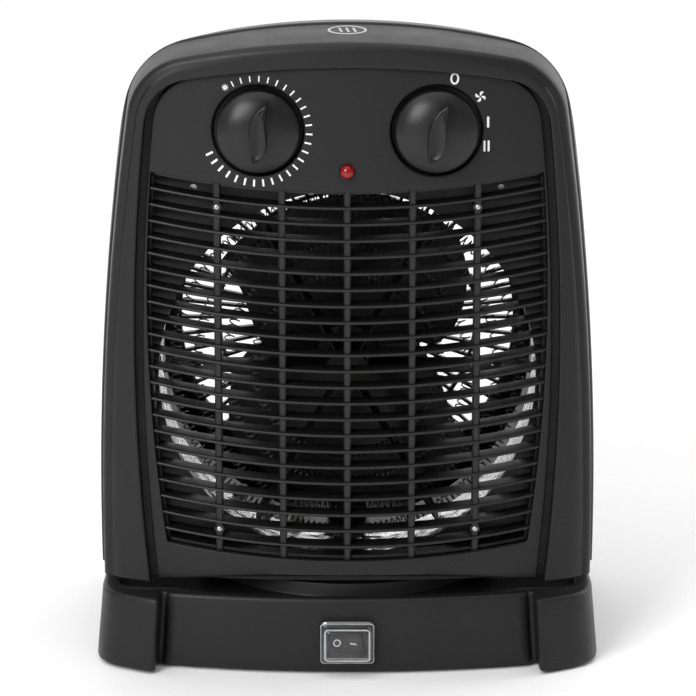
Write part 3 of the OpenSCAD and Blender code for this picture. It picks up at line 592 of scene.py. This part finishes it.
def leaf_section(t):
    """The grip in cross-section, as pairs of a point across the knob and a depth; its top is dished."""
    soft, flare, dish = 0.5, 0.8, 0.85
    left, right = through(LEAF_LEFT, t), through(LEAF_RIGHT, t)
    width = (right - left).length
    along = (right - left) / width if width > 0.01 else Vector((1, 0))
    low = Vector((0, 0.9 * (1 if t > 0.5 else -1) * (abs(2 * t - 1) ** 6)))
    lip = along * min(soft, width * 0.4)
    return [
        (left - along * flare + low, LEAF_FOOT),
        (left - along * flare * 0.35 + low * 0.4, LEAF_WAIST),
        (left - along * 0.05, LEAF_TOP + soft),
        (left + lip * 0.3, LEAF_TOP + soft * 0.3),
        (left + lip, LEAF_TOP),
        ((left * 2 + right) / 3, LEAF_TOP + dish),
        ((left + right * 2) / 3, LEAF_TOP + dish),
        (right - lip, LEAF_TOP),
        (right - lip * 0.3, LEAF_TOP + soft * 0.3),
        (right + along * 0.05, LEAF_TOP + soft),
        (right + along * flare * 0.35 + low * 0.4, LEAF_WAIST),
        (right + along * flare + low, LEAF_FOOT),
    ]


def add_leaf(bm, centre, degrees, steps=36):
    """The grip: a curved, flat-topped ridge that rises out of the cap."""
    rows = []
    for i in range(steps + 1):
        section = leaf_section(i / steps)
        flat = turned([tuple(p) for p, _ in section], centre, degrees)
        rows.append([(x, y, z) for (x, z), (_, y) in zip(flat, section)])
    verts = add_grid(bm, rows)
    for row in (verts[0], verts[-1]):
        bm.faces.new(row)


def build_knob(name, node, centre, degrees):
    soft, floor = 1.5, -66
    shoulder, bore_r = KNOB_R - soft, KNOB_R - KNOB_WALL
    edge = dome_y(shoulder) + 0.4
    turns = (0.4, 0.8, 1.2, math.pi / 2)
    profile = [(0.01, dome_y(0))] + [(r, dome_y(r)) for r in (2, 4, 6, 8, 10, 12, 13.5, shoulder)]
    profile += [(shoulder + soft * math.sin(a), edge + soft * (1 - math.cos(a))) for a in turns]
    profile += [(KNOB_R, KNOB_BACK), (bore_r, KNOB_BACK), (bore_r, floor), (0.01, floor)]
    bm = bmesh.new()
    add_turning(bm, profile, centre)
    add_leaf(bm, centre, degrees)
    finish_mesh(name, bm, node, replaces=[node])


# ---- printed marks ----------------------------------------------------------

RING_X, RING_Z, RING_SHIFT = 0.965, 0.97, -0.6
TICKS, TICK_START, TICK_STEP, TICK_R = 28, -27, 10, 20.2
PRINT_LIFT, PRINT_SINK = -0.14, 0.05
OFF_MARK, FAN_MARK = (42.2, 244.2), (52.4, 236.8)
FAN_MARK_BLADE = [(0.05, 0.2), (-0.5, 0.95), (-0.42, 1.7), (0.1, 2.15), (0.75, 2.1), (1.0, 1.75),
                  (0.45, 1.45), (0.35, 0.9)]
POWER_BARS = (rectangle(55.1, 56.0, 224.4, 228.7), rectangle(53.8, 54.6, 214.8, 219.1),
              rectangle(55.45, 56.25, 214.8, 219.1))


def add_mark(bm, outline):
    """A printed mark on the front panel, as a thin raised shape."""
    add_prism(bm, [on_panel(outline, PRINT_SINK), on_panel(outline, PRINT_LIFT)])


def add_ring_mark(bm, centre, outer, inner, steps=28):
    """A printed ring; outer and inner are half sizes across and up."""
    corners = ((outer, PRINT_SINK), (outer, PRINT_LIFT), (inner, PRINT_LIFT), (inner, PRINT_SINK),
               (outer, PRINT_SINK))
    rows = []
    for (rx, rz), back in corners:
        oval = [(centre[0] + rx * x, centre[1] + rz * z) for x, z in circle((0, 0), 1, steps)]
        rows.append(on_panel(oval, back))
    add_grid(bm, rows, closed=True)


def add_ticks(bm):
    """Strokes round the thermostat that grow along the dial, and a small frost mark before them."""
    for i in range(TICKS):
        share = i / (TICKS - 1)
        half = 0.25 + 0.2 * share
        stroke = rectangle(-half, half, TICK_R, TICK_R + 2.4 + 0.7 * share)
        tick = turned(stroke, (0, 0), TICK_START + TICK_STEP * i)
        add_mark(bm, [(x * RING_X + RING_SHIFT - KNOB_X, z * RING_Z + KNOB_Z) for x, z in tick])
    frost = turned([(0, TICK_R + 1.2)], (-KNOB_X, KNOB_Z), TICK_START - TICK_STEP)[0]
    add_ring_mark(bm, frost, (0.75, 0.75), (0.2, 0.2))
    for i in range(8):
        add_mark(bm, turned(rectangle(-0.14, 0.14, 0.8, 1.35), frost, 45 * i))


def build_marks():
    bm = bmesh.new()
    add_ticks(bm)
    add_ring_mark(bm, OFF_MARK, (1.75, 2.35), (1.02, 1.6))
    for i in range(4):
        add_mark(bm, turned(FAN_MARK_BLADE, FAN_MARK, 90 * i + 10))
    for stroke in POWER_BARS:
        add_mark(bm, stroke)
    finish_mesh("dial_marks", bm, "front_panel", PRINT, angle=30)


def on_crown(loop, up):
    """Points (x, y) of the frame's top, raised by up."""
    return [(x, y, FRAME_TOP + between(FRONT_GROWTH, y) - x * x / (2 * CROWN_R) + up) for x, y in loop]


def build_top_symbol():
    """A plain ring with three slanted bars, printed on the top of the frame."""
    centre_y, half_x, half_y, lift, sink = -46.8, 7.8, 7.3, 0.14, -0.1
    bm = bmesh.new()
    rows = []
    for kx, ky, up in ((1, 1, sink), (1, 1, lift), (0.88, 0.84, lift), (0.88, 0.84, sink), (1, 1, sink)):
        oval = [(half_x * kx * x, centre_y + half_y * ky * y) for x, y in circle((0, 0), 1, 40)]
        rows.append(on_crown(oval, up))
    add_grid(bm, rows, closed=True)
    low, high = centre_y - 3.4, centre_y + 3.4
    for x in (-3.2, -0.4, 2.4):
        stroke = [(x - 0.5, high), (x + 0.4, high), (x + 1.4, low), (x + 0.5, low)]
        add_capped(bm, [on_crown(stroke, sink), on_crown(stroke, lift)])
    finish_mesh("top_symbol", bm, "front_frame", PRINT_GREY, angle=30)


def box_of(node):
    """A node's box in millimetres: half width, half height, front, back and the height of its middle."""
    lo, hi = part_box(node)
    return (hi.x - lo.x) / 2 / MM, (hi.z - lo.z) / 2 / MM, lo.y / MM, hi.y / MM, (lo.z + hi.z) / 2 / MM


def build_pilot():
    r, _, front, back, z = box_of("pilot_lens")
    height = 2.4
    dome = [(r * math.sin(a), front + height * (1 - math.cos(a))) for a in angles(20, 38, 54, 68, 80, 90)]
    bm = bmesh.new()
    add_turning(bm, [(0.01, front)] + dome + [(r, back), (0.01, back)], (0, z), 48)
    finish_mesh("pilot_dome", bm, "pilot_lens", replaces=["pilot_lens"], angle=50)


# ---- switch -----------------------------------------------------------------

ROCKER_PIVOT, ROCKER_TILT = Vector((0, -72.8, 14.4)), math.radians(-10)
ROCKER_DISH_R, ROCKER_REACH = 13.0, 4.6


def build_boot():
    """The clear hood: a soft-cornered box with a raised front and a thin skin."""
    half_w, half_h, front, back, z = box_of("switch_boot")
    skin = front + 0.8
    outside = [(0, back), (0, back - 1.5), (0.25, back - 1.9), (0.9, back - 2.1), (1.2, back - 2.5),
               (1.5, front + 1.0), (1.7, front + 0.35), (2.1, front + 0.05), (2.6, front), (6.5, front)]
    inner = [(6.5, skin), (2.8, skin), (2.3, skin + 0.5), (2.1, back - 1.6), (0.9, back - 1.2), (0.8, back)]

    def loop(inset, y):
        corner = max(2.6 - inset * 0.5, 0.8)
        return at_depth(rounded_rect(half_w - inset, half_h - inset, corner, (0, z)), y)

    bm = bmesh.new()
    out_verts = add_grid(bm, [loop(*p) for p in outside], closed=True)
    in_verts = add_grid(bm, [loop(*p) for p in inner], closed=True)
    bm.faces.new(out_verts[-1])
    bm.faces.new(list(reversed(in_verts[0])))
    bridge(bm, in_verts[-1], out_verts[0], closed=True)
    finish_mesh("clear_hood", bm, "switch_boot", replaces=["switch_boot"], angle=50)


def build_hood_highlight_beads():
    """Rounded beads along the hood's edges, in a paler and cloudier vinyl than the hood itself: a painted
    highlight where the thick vinyl gathers the light.
    """
    half_w, half_h, front, back, z = box_of("switch_boot")
    bm = bmesh.new()
    for inset, y, r in ((2.2, front + 0.42, 0.3), (0.45, back - 1.75, 0.17)):
        loop = rounded_rect(half_w - inset, half_h - inset, 1.3, (0, z))
        rows = [at_depth(shrink(loop, dx), y + dy) for dx, dy in circle((0, 0), r, 8)]
        add_grid(bm, rows + [rows[0]], closed=True)
    finish_mesh("hood_highlight_beads", bm, "switch_boot", HIGHLIGHT_BEAD, angle=60)


def on_rocker(loop, lift):
    """Points (x, z) of the rocker's dished face, raised by lift."""
    c, s = math.cos(ROCKER_TILT), math.sin(ROCKER_TILT)
    out = []
    for x, z in loop:
        y = -ROCKER_DISH_R - ROCKER_REACH + math.sqrt(ROCKER_DISH_R ** 2 - x * x) - lift
        out.append((ROCKER_PIVOT.x + x * c - y * s, ROCKER_PIVOT.y + x * s + y * c, ROCKER_PIVOT.z + z))
    return out


def build_rocker_marks():
    """O on the pressed end and I on the raised one, set in the dished face of the rocker."""
    lift, sink, outer, inner = 0.12, -0.1, 1.55, 1.1
    bm = bmesh.new()
    steps = ((outer, sink), (outer, lift), (inner, lift), (inner, sink), (outer, sink))
    add_grid(bm, [on_rocker(circle((-3.4, 0), r, 24), up) for r, up in steps], closed=True)
    stroke = rectangle(2.0, 4.8, -0.28, 0.28)
    add_capped(bm, [on_rocker(stroke, sink), on_rocker(stroke, lift)])
    finish_mesh("rocker_marks", bm, "rocker", PRINT, angle=30)


# ---- heating coils ----------------------------------------------------------

WIRE_R, TURNS_PER_MM, STEPS_PER_TURN = 0.33, 0.42, 9


def add_wire(bm, points, r, sides=5):
    """A round wire along points."""
    turns = circle((0, 0), 1, sides)
    rows = []
    for i, p in enumerate(points):
        ahead = (points[min(i + 1, len(points) - 1)] - points[max(i - 1, 0)]).normalized()
        side = ahead.cross(Vector((0, 0, 1)) if abs(ahead.z) < 0.9 else Vector((0, 1, 0))).normalized()
        up = ahead.cross(side)
        rows.append([p + (side * c + up * s) * r for c, s in turns])
    add_grid(bm, rows, closed=True)


def build_coil(name, node, radii):
    """Wound heating wire, bent into rings about the fan axis."""
    lo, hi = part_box(node)
    axis = (lo + hi) / 2 / MM
    minor = (hi.y - lo.y) / 2 / MM - 0.35
    bm = bmesh.new()
    for radius in radii:
        steps = int(2 * math.pi * radius * TURNS_PER_MM) * STEPS_PER_TURN
        points = []
        for i in range(steps + 1):
            a, w = 2 * math.pi * i / steps, 2 * math.pi * i / STEPS_PER_TURN
            r = radius + minor * math.cos(w)
            points.append(axis + Vector((r * math.sin(a), minor * math.sin(w), r * math.cos(a))))
        add_wire(bm, points, WIRE_R)
    finish_mesh(name, bm, node, replaces=[node], angle=60)


# ---- fan --------------------------------------------------------------------

FAN_Z, TIP_R, BLADE_T, BLADE_REACH = 118.0, 66.0, 1.4, 54
BLADE_RIGHT = [(37, 0.8), (41, 2.2), (46, 8.7), (49, 16.5), (50.4, 25), (50.2, 34), (46.6, 46.7)]
BLADE_LEFT = [(-52.6, 39.8), (-45, 29), (-42, 21), (-39.4, 13), (-36.6, 6), (-33, 0.8)]
HUB = [(4.0, -8), (11.6, -8), (12.5, -7.7), (13, -7), (13, 6.6), (12.6, 7), (4.0, 7)]


def blade_y(x, z):
    """Middle of a blade's thickness: a pitched paddle with a slight hollow, flatter near its edges."""
    pitch = 9.0 * math.sin(max(-1, min(1, x / BLADE_REACH)) * math.pi / 2)
    return pitch - 1.1 * math.cos(x / BLADE_REACH * math.pi / 2) * z / TIP_R


def blade_outline():
    right = [tuple(through(BLADE_RIGHT, i / 16)) for i in range(17)]
    left = [tuple(through(BLADE_LEFT, i / 16)) for i in range(17)]
    a0, a1 = math.atan2(right[-1][1], right[-1][0]), math.atan2(left[0][1], left[0][0])
    return right + arc((0, 0), TIP_R, a0, a1, 30)[1:-1] + left + [(x, 0.8) for x in range(-28, 35, 6)]


def add_blade(bm, turn):
    """One paddle; turn is 1, or -1 for the one opposite."""
    outline = blade_outline()

    def place(x, z, back):
        return (turn * x, blade_y(x, z) + back, FAN_Z + turn * z)

    faces = (-BLADE_T / 2, BLADE_T / 2)
    for back in faces:
        add_sheet(bm, outline, [], lambda x, z, back=back: place(x, z, back), 5)
    add_grid(bm, [[place(x, z, back) for x, z in outline] for back in faces], closed=True)


def build_fan():
    """Two broad paddles on a hub."""
    bm = bmesh.new()
    add_blade(bm, 1)
    add_blade(bm, -1)
    add_turning(bm, HUB + [HUB[0]], (0, FAN_Z), 64)
    finish_mesh("fan_paddles", bm, "impeller", replaces=["impeller"])


# ---- front panel ------------------------------------------------------------

RECESS_R, RECESS_FLOOR, CUP_T, BORE_R = 18.2, -62.0, 2.0, 4.0
PANEL_T, PANEL_LIP_T, PANEL_LIP_BACK, PANEL_EDGE_R = 2.5, 1.0, -54.1, 0.6
PILOT_Z, PILOT_R = 207.5, 2.8
OUTLET_EDGE_R, PILOT_EDGE_R, CUP_EDGE_R, CUP_FLOOR_R = 0.5, 0.3, 0.8, 1.0


def rounding(loop, r, side=1):
    """From the face round an edge whose wall stands on loop; side is -1 for the edge of a hole."""
    quarter = angles(0, 22, 45, 68, 90)
    return [on_panel(shrink(loop, side * r * (1 - math.sin(a))), r * (1 - math.cos(a))) for a in quarter]


def add_cup(bm, centre):
    """The round recess that a knob sits in."""
    rows = rounding(circle(centre, RECESS_R), CUP_EDGE_R, -1)
    for a in angles(0, 30, 60, 90):
        floor = circle(centre, RECESS_R - CUP_FLOOR_R * (1 - math.cos(a)))
        rows.append(at_depth(floor, RECESS_FLOOR - CUP_FLOOR_R + CUP_FLOOR_R * math.sin(a)))
    bore, outside = circle(centre, BORE_R), circle(centre, RECESS_R + CUP_T)
    rows += [at_depth(bore, RECESS_FLOOR), at_depth(bore, RECESS_FLOOR + CUP_T),
             at_depth(outside, RECESS_FLOOR + CUP_T), on_panel(outside, PANEL_T)]
    add_grid(bm, rows, closed=True)


def build_front_panel():
    body = window_like(FASCIA_HALF_W, FASCIA_TOP)
    inner = shrink(body, PANEL_LIP_T)
    outlet, pilot = outlet_loop(0), circle((0, PILOT_Z), PILOT_R, 40)
    knobs = [(-KNOB_X, KNOB_Z), (KNOB_X, KNOB_Z)]
    bm = bmesh.new()
    holes = [shrink(outlet, -OUTLET_EDGE_R), shrink(pilot, -PILOT_EDGE_R)]
    holes += [shrink(circle(c, RECESS_R), -CUP_EDGE_R) for c in knobs]
    add_sheet(bm, shrink(body, PANEL_EDGE_R), holes, lambda x, z: (x, panel_y(x), z), 3.5)
    lip = [at_depth(body, PANEL_LIP_BACK), at_depth(inner, PANEL_LIP_BACK), on_panel(inner, PANEL_T)]
    add_grid(bm, rounding(body, PANEL_EDGE_R) + lip, closed=True)
    add_grid(bm, rounding(outlet, OUTLET_EDGE_R, -1) + [on_panel(outlet, PANEL_T)], closed=True)
    add_grid(bm, rounding(pilot, PILOT_EDGE_R, -1) + [on_panel(pilot, PANEL_T)], closed=True)
    for centre in knobs:
        add_cup(bm, centre)
    holes = [outlet, pilot] + [circle(c, RECESS_R + CUP_T) for c in knobs]
    add_sheet(bm, inner, holes, lambda x, z: (x, panel_y(x) + PANEL_T, z), 7)
    finish_mesh("front_fascia", bm, "front_panel", replaces=["front_panel"], angle=38)


# ---- base -------------------------------------------------------------------

BASE_HALF_W, BASE_FRONT, BASE_REAR = 103.4, 75.0, 79.0
BASE_BOTTOM, BASE_TOP, LEDGE_Z = 1.5, 31.5, 28.5
HEEL_R, SIDE_TAPER = 34.0, 1.5
DRAFT_X, DRAFT_Y = 0.088, 0.065
DRUM_R, DRUM_TOP, PIVOT_R = 62.0, 34.5, 30.0
SWITCH_HALF_W, SWITCH_HALF_H, SWITCH_Z = 9.7, 6.7, 14.4
BUSH_X, BUSH_Z, BUSH_HALF = 62.0, 15.0, 4
BASE_EDGE_R, RIM_EDGE_R = 1.5, 0.6


def base_plan():
    """Outline of the base on the floor: a bulged middle, a groove, and a foot that slants back."""
    xs = (0, 3, 6, SWITCH_HALF_W, 13, 17, 22, 27, 32, 37, 42, 47, 52, 57, 62, 67, 71, 74)
    front = [(x, bulge(x) - BASE_FRONT) for x in xs]
    groove = [(75, bulge(75) - BASE_FRONT + 0.5), (75.4, -65), (76, -64.4), (77.4, -64.4), (78, -65),
              (78.2, -70), (78.4, -73.8)]
    toe = [(78.7, -74.9), (79.6, -75.6), (81, -75.4), (84, -74), (88, -71.9), (92, -69.7),
           (95.5, -67.5), (98.5, -64.9), (100.7, -61.8), (102.3, -58), (103.1, -54), (BASE_HALF_W, -50)]
    side = [(BASE_HALF_W - SIDE_TAPER * (y + 50) / 95, y) for y in (-30, -10, 10, 30)]
    heel = arc((BASE_HALF_W - HEEL_R - SIDE_TAPER, BASE_REAR - HEEL_R), HEEL_R, 0, math.pi / 2, 14)
    back = [(x, BASE_REAR) for x in (BUSH_X + BUSH_HALF, BUSH_X - BUSH_HALF, 40, 20, 0)]
    return whole(front + groove + toe + side + heel + back)


def ledge_plan():
    """Outline of the sunk floor that the housing turns over."""
    front = [(x, bulge(x) - 68.6) for x in (0, 10, 20, 30, 40, 50, 58, 64)]
    corner = [(68, -60.3), (70.5, -58.4), (74, -57.8), (84, -57.8), (90, -56.6), (93.6, -53.5), (95, -48)]
    side = [(95.2, -20), (94.8, 10), (94, 40)]
    return whole(front + corner + side + arc((67.4, 43.4), 26.6, 0, math.pi / 2, 10) + [(30, 70), (0, 70)])


def leaned(loop, z):
    sx = 1 - DRAFT_X * (z - BASE_BOTTOM) / BASE_HALF_W
    sy = 1 - DRAFT_Y * (z - BASE_BOTTOM) / BASE_FRONT
    return [(x * sx, y * sy) for x, y in loop]


def base_walls():
    plan, low, high = base_plan(), SWITCH_Z - SWITCH_HALF_H, SWITCH_Z + SWITCH_HALF_H
    shoulder = BASE_TOP - BASE_EDGE_R
    steps = [(2.4, BASE_BOTTOM + 6), (2.4, BASE_BOTTOM), (0.5, BASE_BOTTOM), (0.15, BASE_BOTTOM + 0.15),
             (0, BASE_BOTTOM + 0.5), (0, low), (0, BUSH_Z - BUSH_HALF), (0, high), (0, shoulder)]
    steps += [(BASE_EDGE_R * (1 - math.cos(a)), shoulder + BASE_EDGE_R * math.sin(a))
              for a in angles(18, 36, 54, 72, 90)]
    return [at_height(leaned(shrink(plan, inset) if inset else plan, z), z) for inset, z in steps]


def cut_opening(bm, x0, x1, z0, z1, front):
    """Takes out the faces of the front or rear wall within that window."""
    cut = []
    for f in bm.faces:
        c = f.calc_center_median()
        if x0 < c.x < x1 and z0 < c.z < z1 and (c.y < -60 if front else c.y > 60):
            cut.append(f)
    bmesh.ops.delete(bm, geom=cut, context="FACES")


def build_base():
    bm = bmesh.new()
    walls = base_walls()
    add_grid(bm, walls, closed=True)
    low, high = SWITCH_Z - SWITCH_HALF_H, SWITCH_Z + SWITCH_HALF_H
    cut_opening(bm, -SWITCH_HALF_W, SWITCH_HALF_W, low, high, True)
    cut_opening(bm, BUSH_X - BUSH_HALF, BUSH_X + BUSH_HALF, BUSH_Z - BUSH_HALF, high, False)
    ledge = ledge_plan()
    add_sheet(bm, [(x, y) for x, y, _ in walls[-1]], [ledge], lambda x, y: (x, y, BASE_TOP), 5)
    inner, foot_r = shrink(ledge, RIM_EDGE_R), DRUM_R + 0.8
    down = [at_height(shrink(ledge, RIM_EDGE_R * math.sin(a)), BASE_TOP - RIM_EDGE_R * (1 - math.cos(a)))
            for a in angles(0, 30, 60, 90)]
    add_grid(bm, down + [at_height(inner, LEDGE_Z)], closed=True)
    add_sheet(bm, inner, [circle((0, 0), foot_r, 96)], lambda x, y: (x, y, LEDGE_Z), 8)
    drum = [(foot_r, LEDGE_Z), (DRUM_R + 0.25, LEDGE_Z + 0.25), (DRUM_R, LEDGE_Z + 0.8),
            (DRUM_R, DRUM_TOP - 0.7), (DRUM_R - 0.2, DRUM_TOP - 0.2), (DRUM_R - 0.7, DRUM_TOP),
            (PIVOT_R + 0.5, DRUM_TOP), (PIVOT_R, DRUM_TOP - 0.5), (PIVOT_R, DRUM_TOP - 2.4)]
    add_grid(bm, [at_height(circle((0, 0), r, 96), z) for r, z in drum], closed=True)
    finish_mesh("base_moulding", bm, "base_shell", replaces=["base_shell"], angle=38)


# ---- rear shell -------------------------------------------------------------

BACK_Y, REAR_WALL, GRILLE_SEAT_R, GRILLE_SEAT_Y = 58.0, 2.4, 75.4, 55.7
RECESS_HALF_W, RECESS_HALF_H, RECESS_Z, RECESS_CORNER_R = 45, 11, 218, 3
REAR_SCREW_XZ = [(x, z) for x in (-62, 62) for z in (50, 196)]
REAR_SCREW_R, REAR_SCREW_FLOOR = 3.3, 38


def rear_row(y, g, fall, soft):
    return at_depth(housing_outline(g, fall, soft), y)


def add_rear_walls(bm):
    """The outside skin from the seam to the back, the inside wall, and the rim that joins them."""
    y0, g0, fall0, soft0 = REAR_SECTIONS[0]
    steps = [through(REAR_SECTIONS, t / 30) for t in range(31)]
    skin = [rear_row(y0 + 0.1, g0 - SEAM_R, fall0, soft0), rear_row(y0 + SEAM_R, g0, fall0, soft0)]
    skin += [rear_row(*p) for p in steps if y0 + 1 < p[0] < BACK_Y - 0.4]
    skin.append(rear_row(*REAR_SECTIONS[-1]))
    inner = [rear_row(y0 + 0.1, 0, fall0, soft0)]
    inner += [rear_row(y, g - REAR_WALL, fall, soft) for y, g, fall, soft in REAR_SECTIONS[2:6]]
    inner_verts = add_grid(bm, inner)
    skin_verts = add_grid(bm, skin)
    bridge(bm, inner_verts[0], skin_verts[0])


def hand_recess(g=0):
    return rounded_rect(RECESS_HALF_W - g, RECESS_HALF_H - g, RECESS_CORNER_R - g * 0.5, (0, RECESS_Z))


def build_rear_shell():
    bm = bmesh.new()
    add_rear_walls(bm)
    seat = circle((0, FAN_Z), GRILLE_SEAT_R, 120)
    screws = [circle(p, REAR_SCREW_R, 20) for p in REAR_SCREW_XZ]
    outline = housing_outline(*REAR_SECTIONS[-1][1:])
    add_sheet(bm, outline, [seat, hand_recess()] + screws, lambda x, z: (x, BACK_Y, z), 6)
    add_grid(bm, [at_depth(seat, BACK_Y), at_depth(seat, GRILLE_SEAT_Y)], closed=True)
    for loop in screws:
        add_capped(bm, [at_depth(loop, BACK_Y), at_depth(loop, REAR_SCREW_FLOOR)])
    depths = [(0, BACK_Y), (0, BACK_Y - 20), (0.6, BACK_Y - 22.5), (2, BACK_Y - 23.8)]
    add_capped(bm, [at_depth(hand_recess(g), y) for g, y in depths])
    finish_mesh("rear_moulding", bm, "rear_shell", replaces=["rear_shell"], angle=38)


# ---- stage ------------------------------------------------------------------


def area_light(name, location, target, size, power):
    data = bpy.data.lights.new(name, "AREA")
    data.shape, data.size, data.size_y = "RECTANGLE", size[0], size[1]
    data.energy = power
    obj = bpy.data.objects.new(name, data)
    bpy.context.scene.collection.objects.link(obj)
    obj.location = location
    obj.rotation_euler = (Vector(target) - Vector(location)).to_track_quat("-Z", "Y").to_euler()


def add_card(name, corners, mat):
    mesh = bpy.data.meshes.new(name)
    mesh.from_pydata(corners, [], [(0, 1, 2, 3)])
    card = bpy.data.objects.new(name, mesh)
    bpy.context.scene.collection.objects.link(card)
    card.data.materials.append(mat)


def glowing(name, strength):
    mat, _, _, shader, _ = new_material(name)
    shader.inputs["Base Color"].default_value = (0.9, 0.9, 0.9, 1)
    shader.inputs["Emission Color"].default_value = (1, 1, 1, 1)
    shader.inputs["Emission Strength"].default_value = strength
    return mat


def light_world(strength):
    world = bpy.data.worlds.new("studio")
    world.use_nodes = True
    background = world.node_tree.nodes["Background"]
    background.inputs["Color"].default_value = (1, 1, 1, 1)
    background.inputs["Strength"].default_value = strength
    bpy.context.scene.world = world


def build_stage():
    """A pale floor, a glowing card behind, and three soft lights; lengths here are metres."""
    floor_half, card_half, card_y, card_back_y, card_top = 6, 2.2, 2.2, 2.6, 3
    corners = [(-floor_half, -floor_half, 0), (floor_half, -floor_half, 0), (floor_half, floor_half, 0),
               (-floor_half, floor_half, 0)]
    add_card("floor", corners, surface("pale_floor", (0.94, 0.94, 0.94), 0.7, 0.05, 40, 0.0001, 0.01))
    corners = [(-card_half, card_y, 0.001), (card_half, card_y, 0.001), (card_half, card_back_y, card_top),
               (-card_half, card_back_y, card_top)]
    add_card("backdrop", corners, glowing("backdrop", 0.5))
    light_world(0.38)
    bpy.context.scene.view_settings.view_transform = "Standard"
    middle = (0, 0, 0.14)
    area_light("overhead", (-0.2, 0.0, 2.3), (0, 0, 0), (2.4, 2.4), 27)
    area_light("key_left", (-0.95, -1.5, 1.15), middle, (0.9, 1.1), 30)
    area_light("rim_right", (1.7, 0.7, 0.9), middle, (1.0, 1.4), 16)


def build_camera():
    """A camera in front and a little above, on a long lens; lengths here are metres."""
    distance, elevation, aim = 1.4, math.radians(14), Vector((0, 0, 0.130))
    data = bpy.data.cameras.new("camera")
    data.lens, data.sensor_width = 172.4, 36
    data.shift_x, data.shift_y = 0.001, -0.0395
    camera = bpy.data.objects.new("camera", data)
    bpy.context.scene.collection.objects.link(camera)
    camera.location = aim + distance * Vector((0, -math.cos(elevation), math.sin(elevation)))
    camera.rotation_euler = (aim - camera.location).to_track_quat("-Z", "Y").to_euler()
    bpy.context.scene.camera = camera


paint_nodes()
build_front_frame()
build_grille()
build_screw_heads()
build_knob("thermostat_cap", "thermostat_knob", (-KNOB_X, KNOB_Z), 0)
build_knob("selector_cap", "selector_knob", (KNOB_X, KNOB_Z), 4)
build_marks()
build_top_symbol()
build_pilot()
build_boot()
build_hood_highlight_beads()
build_rocker_marks()
build_coil("coils_low", "heating_coil_low", (38, 62))
build_coil("coils_high", "heating_coil_high", (50, 71))
build_fan()
build_base()
build_rear_shell()
build_front_panel()
build_stage()
build_camera()
